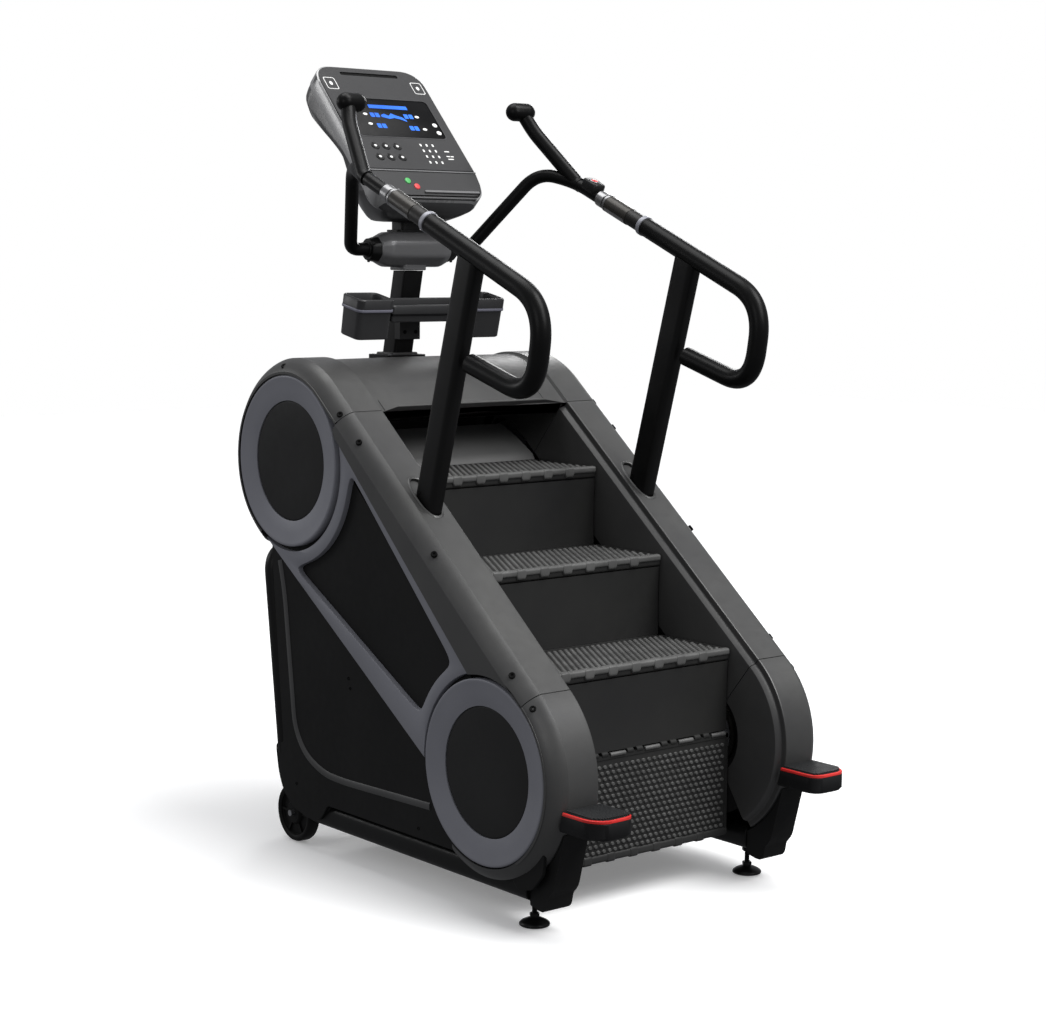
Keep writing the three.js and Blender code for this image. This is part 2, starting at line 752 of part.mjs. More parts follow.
// One side's rail: thin tube from the neck, thick D-shaped grip, and the horn with its knob.
function handrail() {
  const thin = tube(
    [
      new THREE.Vector3(NECK.half + GAP, NECK.y, NECK.z),
      new THREE.Vector3(192, NECK.y, NECK.z),
      new THREE.Vector3(300, 330, 1742),
      at(RAIL_X, onRail(310)),
      at(RAIL_X, onRail(-2)),
    ],
    TUBE_R,
    55,
    34,
  );
  const thick = tube(
    [
      at(RAIL_X, onRail(0)),
      at(RAIL_X, { y: -470, z: 1417 }),
      at(RAIL_X, { y: -436, z: 1205 }),
      at(RAIL_X, { y: -190, z: 1279 }),
    ],
    GRIP_TUBE_R,
    95,
    26,
  );
  const horn = tube(
    [at(RAIL_X, onRail(300)), at(299, { y: 346, z: 1848 }), at(286, { y: 369, z: 1888 })],
    19,
    40,
    6,
  );
  const knob = new THREE.CapsuleGeometry(KNOB.r, KNOB.length, 4, 14).rotateZ(KNOB_HEADING);
  knob.translate(KNOB.x, KNOB.y, KNOB.z);
  const postClear = plate(postOutline(0), RAIL_X - POST_HALF_X - GAP, RAIL_X + POST_HALF_X + GAP);
  return cut(join(thin, thick, horn, knob), postClear);
}

// A sleeve of hand sensors round the thin tube.
function handSensor() {
  const from = onRail(50);
  const sleeve = new THREE.LatheGeometry(
    [
      [TUBE_R + 0.8, 0],
      [TUBE_R + 5, 0],
      [TUBE_R + 5, 150],
      [TUBE_R + 0.8, 150],
      [TUBE_R + 0.8, 0],
    ].map(([r, along]) => new THREE.Vector2(r, along)),
    24,
  );
  sleeve.rotateX(RAIL_TILT);
  return sleeve.translate(RAIL_X, from.y, from.z);
}

// The saddle on the right rail and the thumb button in it.
function controlPod() {
  const body = new THREE.BoxGeometry(40, 56, 30).rotateX(RAIL_TILT);
  const centre = onRail(238, 16);
  body.translate(RAIL_X, centre.y, centre.z);
  const railClear = tube([at(RAIL_X, onRail(180)), at(RAIL_X, onRail(290))], TUBE_R + 0.8, 10, 4, 24);
  const pocketCentre = onRail(238, 31);
  const pocket = new THREE.CylinderGeometry(9.5, 9.5, 12, 20).rotateX(Math.PI / 2 + RAIL_TILT);
  pocket.translate(RAIL_X, pocketCentre.y, pocketCentre.z);
  return cut(body, railClear, pocket);
}

function controlButton() {
  const centre = onRail(238, 30.5);
  const button = new THREE.CylinderGeometry(9, 9, 6, 20).rotateX(Math.PI / 2 + RAIL_TILT);
  return button.translate(RAIL_X, centre.y, centre.z);
}

function neckHousing() {
  const profile = [
    [0, -NECK.half],
    [24, -NECK.half],
    [34, -NECK.half + 8],
    [NECK.r, -NECK.half + 45],
    [NECK.r, NECK.half - 45],
    [34, NECK.half - 8],
    [24, NECK.half],
    [0, NECK.half],
  ];
  const barrel = turned(profile, NECK, 32);
  const collar = block([-34, MAST.headY - 31, NECK.z - 54], [34, MAST.headY + 31, NECK.z - 20]);
  const neck = block([-30, NECK.y - 8, NECK.z + 30], [30, NECK.y + 48, 1640]);
  return join(barrel, collar, neck);
}

// The front face of the leaning mast at a height.
function mastFront(z) {
  const share = (z - MAST.footZ) / (MAST.headZ - MAST.footZ);
  return { y: MAST.footY + share * (MAST.headY - MAST.footY) - MAST.halfY, z };
}

function mast() {
  const low = mastFront(MAST.footZ);
  const high = mastFront(MAST.headZ);
  const deep = 2 * MAST.halfY;
  const outline = [low, { y: low.y + deep, z: low.z }, { y: high.y + deep, z: high.z }, high];
  const column = plate(outline, -MAST.halfX, MAST.halfX);
  const flange = block([-62, MAST.footY - 50, 1205], [62, MAST.footY + 50, MAST.footZ + 6]);
  return cut(join(column, flange), bar(COVER_R + GAP, -100, 100, UPPER_TURN, 96));
}

// An eight-sided upright block round the middle of one cup holder.
function cupBlock(side, lowZ, wall) {
  const halfX = CUP.halfX - wall;
  const halfY = CUP.halfY - wall;
  const { corner } = CUP;
  const shape = new THREE.Shape();
  shape.moveTo(corner - halfX, -halfY);
  shape.lineTo(halfX - corner, -halfY);
  shape.lineTo(halfX, corner - halfY);
  shape.lineTo(halfX, halfY - corner);
  shape.lineTo(halfX - corner, halfY);
  shape.lineTo(corner - halfX, halfY);
  shape.lineTo(-halfX, halfY - corner);
  shape.lineTo(-halfX, corner - halfY);
  shape.closePath();
  const prism = new THREE.ExtrudeGeometry(shape, { depth: CUP.topZ - lowZ, bevelEnabled: false });
  return prism.translate(side * CUP.x, CUP.y, lowZ);
}

// Two cup holders joined by a shallow tray, tilted to the user, with a bracket on the mast's front.
function accessoryTray() {
  const lowZ = 1362;
  const highZ = 1408;
  const bridge = block([-133, 386, lowZ], [133, 478, highZ]);
  const hollow = block([-120, 394, lowZ + 10], [120, 468, CUP.topZ]);
  const cups = [-1, 1].map((side) => cupBlock(side, CUP.footZ, 0));
  const cupHollows = [-1, 1].map((side) => cupBlock(side, CUP.footZ + 6, 5));
  const tray = cut(join(...cups, bridge), ...cupHollows, hollow);
  tray.translate(0, -TRAY_PIVOT.y, -TRAY_PIVOT.z).rotateX(TRAY_TILT);
  tray.translate(0, TRAY_PIVOT.y, TRAY_PIVOT.z);
  const bracketZ = [1404, 1374];
  const atMast = bracketZ.map((z) => ({ y: mastFront(z).y - GAP, z }));
  const bracket = plate([{ y: 476, z: 1374 }, { y: 474, z: 1404 }, ...atMast], -36, 36);
  return join(tray, bracket);
}

function addUpperWorks() {
  addPair("post", plate(postOutline(), RAIL_X - POST_HALF_X, RAIL_X + POST_HALF_X), "blackSteel");
  addPair("handrail", handrail(), "blackSteel");
  addPair("hand_sensor", handSensor(), "bareSteel");
  add("control_pod", controlPod(), "darkPanel");
  add("control_button", controlButton(), "red");
  add("neck_housing", neckHousing(), "console");
  add("mast", mast(), "blackSteel");
  add("accessory_tray", accessoryTray(), "darkPanel");
}

// ---- console ----

// A slab that lies on the console's face, from one height to another above the face plane.
function faceSlab(halfWidth, low, high, out0, out1, corner) {
  const shape = new THREE.Shape();
  shape.moveTo(-halfWidth + corner, low);
  shape.lineTo(halfWidth - corner, low);
  shape.quadraticCurveTo(halfWidth, low, halfWidth, low + corner);
  shape.lineTo(halfWidth, high - corner);
  shape.quadraticCurveTo(halfWidth, high, halfWidth - corner, high);
  shape.lineTo(-halfWidth + corner, high);
  shape.quadraticCurveTo(-halfWidth, high, -halfWidth, high - corner);
  shape.lineTo(-halfWidth, low + corner);
  shape.quadraticCurveTo(-halfWidth, low, -halfWidth + corner, low);
  const depth = out1 - out0;
  const geometry = new THREE.ExtrudeGeometry(shape, { depth, bevelEnabled: false, curveSegments: 6 });
  const base = onFace(0, out0);
  return geometry.rotateX(FACE_TILT).translate(0, base.y, base.z);
}

// The console's body: ledge, rounded bottom and the back shell behind the face.
function consoleShell() {
  const outline = [
    onFace(0, -4 - GAP),
    onLedge(4),
    onLedge(72),
    { y: 397, z: 1668 },
    { y: 405, z: 1640 },
    { y: 436, z: 1616 },
    { y: 476, z: 1608 },
  ];
  const backOutline = [
    { y: 548, z: 1608 },
    { y: 592, z: 1650 },
    onFace(120, -124),
    onFace(300, -98),
    onFace(FACE_LENGTH - 16, -92),
    onFace(FACE_LENGTH, -74),
    onFace(FACE_LENGTH, -4 - GAP),
  ];
  const body = plate([...outline, ...backOutline], -CONSOLE_HALF, CONSOLE_HALF);
  const corners = faceSlab(CONSOLE_HALF, -96, FACE_LENGTH, -260, 60, 55);
  const neckClear = block([-31, 460, 1500], [31, NECK.y + 49, 1640 + GAP]);
  const pockets = [START_KEY, STOP_KEY].map((key) => {
    return ledgeBar(key, KEY_R + 0.5, -20, 6.5);
  });
  return cut(common(body, corners), neckClear, ...pockets);
}

// The face plate, with a recess for the display.
function consoleFace() {
  const panel = faceSlab(CONSOLE_HALF - 3, 2, FACE_LENGTH - 3, -4, 0, 52);
  const { half, low, high, corner } = WINDOW;
  const windowClear = faceSlab(half + 0.5, low - 0.5, high + 0.5, -2, 5, corner);
  return cut(panel, windowClear);
}

// A point on the leaning ledge under the console's face, some way down from the face.
function onLedge(down) {
  return {
    y: FACE_LOW.y - down * Math.sin(LEDGE_LEAN),
    z: FACE_LOW.z - down * Math.cos(LEDGE_LEAN),
  };
}

// A round bar square to the ledge, between two depths in it, for a push key or its pocket.
function ledgeBar(key, radius, shallow, deep) {
  const geometry = new THREE.CylinderGeometry(radius, radius, deep - shallow, 20);
  const { y, z } = onLedge(key.down);
  geometry.translate(0, (shallow + deep) / 2, 0).rotateX(-LEDGE_LEAN);
  return geometry.translate(key.x, y, z);
}

function ledgeKey(key) {
  return ledgeBar(key, KEY_R, -4, 4);
}

function addConsole() {
  add("console_shell", consoleShell(), "console");
  add("console_face", consoleFace(), "console");
  const { half, low, high, corner } = WINDOW;
  add("display_window", faceSlab(half, low, high, -1.7, 0.2, corner), "screen");
  add("start_key", ledgeKey(START_KEY), "green");
  add("stop_key", ledgeKey(STOP_KEY), "red");
}

// ---- the machine ----

addFrame();
addPair("slope_cover", slopeCover(), "shroud");
addPair("lower_cover", lowerCover(), "shroud");
add("crown_hood", crownHood(), "shroud");
addPair("upper_ring", ringCap(UPPER_TURN), "slate");
addPair("lower_ring", ringCap(LOWER_TURN), "slate");
addPair("trim_frame", trimFrame(), "slate");
addPair("side_panel", sidePanel(), "darkPanel");
addPair("front_leg", frontLeg(), "darkPanel");
addPair("foot_pad", footPad(), "rubber");
addPair("levelling_foot", levellingFoot(), "blackSteel");
addStaircase();
addDrive();
addUpperWorks();
addConsole();

machine.position.y = -MIDDLE_OF_DEPTH;

export default machine;
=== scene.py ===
"""The looks of a revolving-staircase exercise machine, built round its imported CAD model.

Shapes are written in the part's millimetres: +X is the user's right, +Y is the way the user
faces and +Z is up. place() turns them into metres in the row frame.
"""

from math import atan2, copysign, cos, pi, radians, sin, sqrt

import bmesh
import bpy
from mathutils import Matrix, Vector


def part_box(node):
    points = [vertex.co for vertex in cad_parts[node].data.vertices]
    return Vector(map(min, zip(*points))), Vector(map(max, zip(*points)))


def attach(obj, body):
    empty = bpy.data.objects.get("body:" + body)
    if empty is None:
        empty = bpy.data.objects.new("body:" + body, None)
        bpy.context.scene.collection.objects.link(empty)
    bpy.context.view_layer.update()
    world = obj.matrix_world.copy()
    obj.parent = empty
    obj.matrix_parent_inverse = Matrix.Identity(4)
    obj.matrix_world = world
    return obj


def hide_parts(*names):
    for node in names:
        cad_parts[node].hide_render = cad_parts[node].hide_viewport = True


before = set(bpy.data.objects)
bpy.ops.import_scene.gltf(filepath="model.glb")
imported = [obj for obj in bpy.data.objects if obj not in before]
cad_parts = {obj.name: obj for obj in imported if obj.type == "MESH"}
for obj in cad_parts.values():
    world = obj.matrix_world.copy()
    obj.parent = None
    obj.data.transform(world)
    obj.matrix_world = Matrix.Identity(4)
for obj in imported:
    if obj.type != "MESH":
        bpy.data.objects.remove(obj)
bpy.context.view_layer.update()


def middle(node):
    """The middle of a CAD node's box, in millimetres."""
    low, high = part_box(node)
    return (low + high) * 500


# The part's own numbers, before it was moved to the middle of its depth
LOWER_Y, LOWER_Z = -360.0, 349.0
RISE, GOING = 203.2, 251.0
STEP_HALF = 281.0
NOSE_Y, NOSE_Z = -442.0, 571.0
NOSE_OVERHANG = 6.0
WELL_X, STRIP_OUT_X, SIDE_X = 286.0, 388.0, 427.0
COVER_R, SHOULDER_R, RING_R, DISC_R = 260.0, 226.0, 217.5, 153.0
SEAM_LOW, SEAM_HIGH = 4.0, 934.0
CROWN_START, CROWN_CORNER_X = radians(-59), 236
PANEL_IN_X, PANEL_OUT_X = 396.0, 404.0
RAIL_X, POST_HALF_X = 344.0, 21.0
POST_FOOT, POST_TOP = Vector((-45, 926)), Vector((-206, 1510))
SOCKET = (630, 0)
TUBE_R, GRIP_TUBE_R = 17.0, 24.0
COLLAR_Y, COLLAR_Z = -56.0, 1594.0
RAIL_TILT = radians(23.2)
KNOB, KNOB_HEADING = (274, 373, 1900), radians(83)
POD_ALONG = 238
NECK_Y, NECK_Z, NECK_R, NECK_HALF = 495.0, 1535.0, 47.0, 143.0
FACE_Y, FACE_Z, FACE_LENGTH, CONSOLE_HALF = 437.0, 1739.0, 385.0, 175.0
FACE_TILT, LEDGE_LEAN = radians(46.7), radians(32.8)
FOOT_X, FOOT_Y = 344.0, -453.0
WHEEL_X, WHEEL_Y, WHEEL_Z, WHEEL_R = 368, 482.0, 76.0, 76.0
TRAY_Y, TRAY_Z, TRAY_TILT = 470.0, 1410.0, radians(12)
MAST_FOOT_Y = 553

lower_ring, upper_ring = middle("right_lower_ring"), middle("right_upper_ring")
SHIFT_Y = lower_ring.y - LOWER_Y
SPAN = (upper_ring - lower_ring).length
SLOPE = atan2(upper_ring.z - lower_ring.z, upper_ring.y - lower_ring.y)
ALONG_Y, ALONG_Z = cos(SLOPE), sin(SLOPE)
X_AXIS = (1, 0, 0)


def place(p):
    """Part millimetres to row-frame metres."""
    return Vector((p[0], p[1] + SHIFT_Y, p[2])) / 1000


def on_slope(x, along, out):
    """A point some way up the stairs' slope and out from the line between the two turns."""
    return (x, LOWER_Y + along * ALONG_Y - out * ALONG_Z, LOWER_Z + along * ALONG_Z + out * ALONG_Y)


def on_face(x, up, out=0.0):
    """A point some way up the console's face and out from it."""
    c, s = cos(FACE_TILT), sin(FACE_TILT)
    return (x, FACE_Y + up * c - out * s, FACE_Z + up * s + out * c)


def on_rail(x, along, out=0.0):
    """A point some way up the straight run of the handrails and out from its centre line."""
    c, s = cos(RAIL_TILT), sin(RAIL_TILT)
    return (x, COLLAR_Y + along * c - out * s, COLLAR_Z + along * s + out * c)


LOWER = (LOWER_Y, LOWER_Z)
UPPER = on_slope(0, SPAN, 0)[1:]
SQUARE = SLOPE + pi / 2
RAIL_AHEAD = Vector((0, cos(RAIL_TILT), sin(RAIL_TILT)))
RAIL_OUT = Vector((0, -sin(RAIL_TILT), cos(RAIL_TILT)))
FACE_OUT = Vector((0, -sin(FACE_TILT), cos(FACE_TILT)))


def spaced(start, end, count):
    """Numbers from start to end in even steps."""
    return [start + (end - start) * i / count for i in range(count + 1)]


# ---- shapes: (corner points, faces) ----


def loft(rings, loop=False, sheet=False):
    """Skin over rings of points. loop joins the last ring to the first; sheet leaves each ring open."""
    n, count = len(rings[0]), len(rings)
    faces = []
    for i in range(count if loop else count - 1):
        a, b = i * n, ((i + 1) % count) * n
        for j in range(n - 1 if sheet else n):
            k = (j + 1) % n
            faces.append((a + j, a + k, b + k, b + j))
    if not loop and not sheet:
        faces.append(tuple(range(n)))
        faces.append(tuple(range((count - 1) * n, count * n)))
    return [p for ring in rings for p in ring], faces


def join(*shapes):
    points, faces = [], []
    for shape_points, shape_faces in shapes:
        start = len(points)
        points += shape_points
        faces += [tuple(start + i for i in face) for face in shape_faces]
    return points, faces


def moved(shape, move):
    return [move(*p) for p in shape[0]], shape[1]


def mirrored(shape):
    return moved(shape, lambda x, y, z: (-x, y, z))


def prism(outline, low_x, high_x):
    """A (y, z) outline, thick along X."""
    return loft([[(x, y, z) for y, z in outline] for x in (low_x, high_x)])


def block(low, high):
    corners = [(low[1], low[2]), (high[1], low[2]), (high[1], high[2]), (low[1], high[2])]
    return prism(corners, low[0], high[0])


def stacked(*rows):
    """Skin over rows of (an (x, y) outline, its height)."""
    return loft([[(x, y, z) for x, y in outline] for outline, z in rows])


def upright(outline, low_z, high_z):
    """An (x, y) outline, thick along Z."""
    return stacked((outline, low_z), (outline, high_z))


def face_slab(outline, low_out=-0.2, high_out=0.4):
    """An (x, up) outline lying on the console's face."""
    return loft([[on_face(x, up, out) for x, up in outline] for out in (low_out, high_out)])


def bezier(a, b, c, steps):
    a, b, c = Vector(a), Vector(b), Vector(c)
    return [tuple(a * (1 - t) ** 2 + b * 2 * t * (1 - t) + c * t * t) for t in spaced(0, 1, steps)]


def rounding(before, corner, after, reach, share, steps):
    """The curve that rounds a corner; reach is how far it starts from the corner at most."""
    corner = Vector(corner)
    before, after = Vector(before) - corner, Vector(after) - corner
    far = min(reach, before.length * share, after.length * share)
    return bezier(corner + before.normalized() * far, corner, corner + after.normalized() * far, steps)


def soft(points, reach, steps=6):
    """A closed outline with its corners rounded; reach is one number or one for each corner."""
    reaches = reach if isinstance(reach, (list, tuple)) else [reach] * len(points)
    out = []
    for i, corner in enumerate(points):
        if reaches[i] <= 0:
            out.append(tuple(corner))
        else:
            after = points[(i + 1) % len(points)]
            out += rounding(points[i - 1], corner, after, reaches[i], 0.49, steps)
    return out


def rounded_path(corners, bend, steps=12):
    """The corners joined by straight runs, with each inner corner rounded as in the CAD model."""
    path = [Vector(corners[0])]
    for before, corner, after in zip(corners, corners[1:], corners[2:]):
        path += [Vector(p) for p in rounding(before, corner, after, bend, 0.48, steps)]
    return path + [Vector(corners[-1])]


def oval(half_a, half_b, centre=(0, 0), power=2.4, steps=48):
    out = []
    for i in range(steps):
        c, s = cos(2 * pi * i / steps), sin(2 * pi * i / steps)
        a = copysign(abs(c) ** (2 / power), c) * half_a
        b = copysign(abs(s) ** (2 / power), s) * half_b
        out.append((centre[0] + a, centre[1] + b))
    return out


def rounded_box(half_x, half_y, corner, centre=(0, 0), steps=6):
    corners = ((-1, -1), (1, -1), (1, 1), (-1, 1))
    return soft([(centre[0] + half_x * a, centre[1] + half_y * b) for a, b in corners], corner, steps)


def polygon(sides, radius, centre=(0, 0), start=0.0):
    angles = [start + 2 * pi * k / sides for k in range(sides)]
    return [(centre[0] + radius * cos(a), centre[1] + radius * sin(a)) for a in angles]


def turn(profile, origin, axis=X_AXIS, steps=64):
    """A profile of (radius, distance along axis) turned round the axis through origin."""
    axis = Vector(axis).normalized()
    across = axis.orthogonal().normalized()
    other = axis.cross(across)
    origin = Vector(origin)
    rings = []
    for i in range(steps):
        angle = 2 * pi * i / steps
        spoke = across * cos(angle) + other * sin(angle)
        rings.append([tuple(origin + spoke * r + axis * t) for r, t in profile])
    closed_on_axis = profile[0][0] == 0 and profile[-1][0] == 0
    return loft(rings, loop=True, sheet=closed_on_axis)


def cylinder(radius, low, high, origin, axis=X_AXIS, steps=128):
    return turn([(0, low), (radius, low), (radius, high), (0, high)], origin, axis, steps)


def sweep(path, section, flat=None):
    """Rings of a section's (side, up) points, square to a path. flat keeps up near a direction."""
    path = [Vector(p) for p in path]
    rings, normal = [], None
    for i, point in enumerate(path):
        ahead = path[min(i + 1, len(path) - 1)] - path[max(i - 1, 0)]
        ahead.normalize()
        if flat is not None:
            normal = Vector(flat)
        elif normal is None:
            normal = ahead.orthogonal()
        normal = (normal - ahead * normal.dot(ahead)).normalized()
        side = ahead.cross(normal)
        rings.append([tuple(point + side * a + normal * b) for a, b in section])
    return rings


def tube(path, radius, sides=24):
    """A round bar along a path."""
    return loft(sweep(path, polygon(sides, radius)))


def arc(centre, radius, start, end, steps):
    return [
        Vector((centre[0] + radius * cos(angle), centre[1] + radius * sin(angle)))
        for angle in spaced(start, end, steps)
    ]


# ---- materials ----

CLOUD_EDGES = (0.32, 0.68)
RELIEF_DEPTH = 0.00015


def colour(code):
    """A colour written as six hexadecimal digits, as linear red, green, blue and alpha."""
    values = [int(code[i : i + 2], 16) / 255 for i in (0, 2, 4)]
    return (*(v / 12.92 if v <= 0.04045 else ((v + 0.055) / 1.055) ** 2.4 for v in values), 1)


def put(node, **values):
    """Sets a node's own sockets, whose names are written with _ for each space."""
    for name, value in values.items():
        node.inputs[name.replace("_", " ")].default_value = value


def look(name, dark, light, rough, metal, grain, relief, cloud=5.0, glow=0.0, gloss=0.3):
    """A material with cloudy colour, uneven roughness and a fine moulded or painted grain."""
    made = bpy.data.materials.new(name)
    made.use_nodes = True
    nodes, links = made.node_tree.nodes, made.node_tree.links
    shader = nodes["Principled BSDF"]
    put(shader, Metallic=metal, Specular_IOR_Level=gloss)
    coords = nodes.new("ShaderNodeTexCoord")

    def noise(scale, detail):
        node = nodes.new("ShaderNodeTexNoise")
        put(node, Scale=scale, Detail=detail)
        links.new(coords.outputs["Object"], node.inputs["Vector"])
        return node.outputs["Fac"]

    ramp = nodes.new("ShaderNodeValToRGB")
    for element, position, code in zip(ramp.color_ramp.elements, CLOUD_EDGES, (dark, light)):
        element.position, element.color = position, colour(code)
    links.new(noise(cloud, 6.0), ramp.inputs["Fac"])
    links.new(ramp.outputs["Color"], shader.inputs["Base Color"])
    spread = nodes.new("ShaderNodeMapRange")
    put(spread, From_Min=0.3, From_Max=0.7, To_Min=rough[0], To_Max=rough[1])
    links.new(noise(cloud * 9, 4.0), spread.inputs["Value"])
    links.new(spread.outputs["Result"], shader.inputs["Roughness"])
    bump = nodes.new("ShaderNodeBump")
    put(bump, Strength=relief, Distance=RELIEF_DEPTH)
    links.new(noise(grain, 3.0), bump.inputs["Height"])
    links.new(bump.outputs["Normal"], shader.inputs["Normal"])
    if glow:
        links.new(ramp.outputs["Color"], shader.inputs["Emission Color"])
        put(shader, Emission_Strength=glow)
    return made


PAINT = look("charcoal_paint", "484848", "50504f", (0.36, 0.44), 0.4, 1400, 0.05, gloss=0.4)
SLATE = look("slate_paint", "7c7d84", "84858c", (0.38, 0.5), 0.1, 1400, 0.05)
PANEL = look("moulded_side", "1b1b1b", "1f1f1f", (0.5, 0.6), 0.0, 1100, 0.2, gloss=0.1)
DISC = look("ring_disc", "292929", "2d2d2d", (0.48, 0.58), 0.0, 1100, 0.2, gloss=0.1)
BEAD = look("side_bead", "444444", "4c4c4c", (0.42, 0.52), 0.1, 1100, 0.1)
STEEL = look("black_powder_coat", "0b0b0b", "0e0e0e", (0.36, 0.46), 0.0, 700, 0.2, gloss=0.2)
RAIL = look("black_rail", "090909", "0c0c0c", (0.33, 0.39), 0.0, 800, 0.15, gloss=0.14)
GRIP = look("grip_sleeve", "141312", "1c1a18", (0.4, 0.5), 0.0, 600, 0.3)
STEP = look("step_grey", "242424", "2c2c2b", (0.5, 0.6), 0.0, 900, 0.4, gloss=0.2)
NOSING = look("step_nosing", "525251", "626261", (0.42, 0.55), 0.1, 700, 0.3, cloud=18)
# A darker copy of the nosing for the hanging lowest tread: painted shade.
LOW_NOSING_SHADE = look("lowest_nosing_painted_shade", "2e2e2e", "383837", (0.45, 0.56), 0.1, 700, 0.3)
STUD = look("step_studs", "4a4a49", "5e5e5d", (0.42, 0.55), 0.1, 900, 0.3, cloud=22)
RISER = look("riser_plastic", "262626", "2b2b2a", (0.36, 0.44), 0.0, 1200, 0.08)
# A much lighter copy of the riser plastic for the top riser: painted light on a surface that the crown
# shades.
DRUM_PAINTED_LIGHT = look("drum_painted_light", "7e7e7e", "868685", (0.36, 0.44), 0.0, 1200, 0.08)
PAD = look("pad_rubber", "111112", "18191a", (0.55, 0.7), 0.0, 800, 0.4, gloss=0.2)
PAD_RIB = look("pad_ribs_grey", "28292a", "343536", (0.5, 0.6), 0.0, 800, 0.3)
PAD_RED = look("pad_red_line", "c42826", "da3a36", (0.35, 0.45), 0.0, 900, 0.1)
TYRE = look("tyre_rubber", "0c0c0c", "121212", (0.5, 0.65), 0.0, 700, 0.3, gloss=0.15)
FOOT = look("foot_steel", "1a1a1a", "242424", (0.28, 0.4), 0.6, 900, 0.15)
BARE = look("bare_steel", "969799", "b2b3b5", (0.25, 0.38), 0.9, 500, 0.2)
CHAIN = look("chain_steel", "282725", "3e3c39", (0.35, 0.5), 0.85, 400, 0.4)
BELT = look("belt_rubber", "121212", "1c1c1c", (0.55, 0.7), 0.0, 600, 0.4)
MOTOR = look("alternator_case", "1c1c1d", "282829", (0.4, 0.5), 0.5, 600, 0.3)
SENSOR = look("sensor_steel", "787879", "969697", (0.24, 0.34), 0.85, 300, 0.2)
SLEEVE = look("sensor_sleeve", "363431", "403e3b", (0.26, 0.36), 0.4, 400, 0.15)
RINGS = look("sleeve_ring", "8c8d94", "a0a1a8", (0.35, 0.45), 0.2, 700, 0.15)
POD = look("pod_plastic", "141414", "1b1b1b", (0.35, 0.45), 0.0, 900, 0.15)
RED = look("button_red", "ce3c3e", "e25656", (0.3, 0.4), 0.0, 900, 0.1)
GREEN = look("key_green", "46a858", "5cbe6c", (0.3, 0.4), 0.0, 900, 0.1)
NECK = look("neck_gloss", "606061", "666667", (0.3, 0.32), 0.2, 1200, 0.04, gloss=0.5)
TRAY = look("tray_plastic", "2a2a2b", "323233", (0.36, 0.46), 0.0, 1000, 0.15)
TRAY_BAND = look("tray_band", "70707c", "7c7c88", (0.35, 0.45), 0.1, 900, 0.1)
FACE = look("console_face", "2e2e2f", "333334", (0.42, 0.5), 0.1, 1500, 0.1)
EDGE = look("console_edge", "686869", "707071", (0.3, 0.36), 0.1, 900, 0.05)
SHELL = look("console_shell", "3e3e3f", "444445", (0.28, 0.31), 0.2, 1200, 0.05, gloss=0.5)
# A light grey copy of the shell plastic for a band round the console's sides: painted sheen, standing for the
# shell's reflection of the lights.
RIM_SHEEN = look("console_rim_sheen", "a0a0a0", "a8a8a8", (0.26, 0.3), 0.2, 900, 0.05, gloss=0.5)
GLASS = look("window_black", "050506", "080809", (0.3, 0.36), 0.0, 1500, 0.01, gloss=0.1)
INK = look("white_marks", "dededc", "eeeeec", (0.5, 0.6), 0.0, 900, 0.02)
BLACK_KEY = look("membrane_key", "0a0a0a", "0f0f0f", (0.3, 0.4), 0.0, 1200, 0.1)
SCREEN = look("screen_blue", "1a52be", "2c70e2", (0.3, 0.4), 0.0, 900, 0.01, glow=0.5)
# Near black for the slot floor, the well behind each side ring and the recessed screws: painted shade,
# standing for the darkness inside holes and recesses.
RECESS_SHADE = look("recess_painted_shade", "050505", "090909", (0.6, 0.7), 0.0, 600, 0.3, gloss=0.1)

# ---- making pieces ----

WELD = 2e-6


def show(name, data):
    obj = bpy.data.objects.new(name, data)
    bpy.context.scene.collection.objects.link(obj)
    return obj


def to_mesh(name, shape):
    points, faces = shape
    bm = bmesh.new()
    corners = [bm.verts.new(place(p)) for p in points]
    for face in faces:
        bm.faces.new([corners[i] for i in face])
    bmesh.ops.remove_doubles(bm, verts=bm.verts, dist=WELD)
    bmesh.ops.recalc_face_normals(bm, faces=bm.faces)
    mesh = bpy.data.meshes.new(name)
    bm.to_mesh(mesh)
    bm.free()
    return mesh


def carve(obj, shape):
    """Cuts a closed shape out of an object's mesh."""
    tool = show("tool", to_mesh("tool", shape))
    cut = obj.modifiers.new("cut", "BOOLEAN")
    cut.operation, cut.solver, cut.object = "DIFFERENCE", "EXACT", tool
    graph = bpy.context.evaluated_depsgraph_get()
    obj.data = bpy.data.meshes.new_from_object(obj.evaluated_get(graph))
    obj.modifiers.clear()
    bpy.data.objects.remove(tool)


def piece(name, material, shape, node=None, body="frame", bevel=0.0, crease=32, cuts=(), segments=2):
    """A piece of the visual model, riding on a body and standing for a CAD node if one is given."""
    obj = show(name, to_mesh(name, shape))
    for cut in cuts:
        carve(obj, cut)
    obj.data.materials.clear()
    obj.data.materials.append(material)
    obj.data.shade_smooth()
    obj.data.set_sharp_from_angle(angle=radians(crease))
    if bevel:
        edge = obj.modifiers.new("edge", "BEVEL")
        edge.width, edge.segments = bevel / 1000, segments
        edge.limit_method, edge.angle_limit = "ANGLE", radians(crease)
        edge.harden_normals = True
    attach(obj, body)
    if node:
        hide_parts(node)


def pair(name, material, shape, node=None, bodies=("frame", "frame"), cuts=(), **rest):
    """A right-hand piece and its mirror image, standing for right_ and left_ nodes."""
    for side, body in zip(("right_", "left_"), bodies):
        if side == "left_":
            shape, cuts = mirrored(shape), [mirrored(cut) for cut in cuts]
        piece(side + name, material, shape, node and side + node, body, cuts=cuts, **rest)


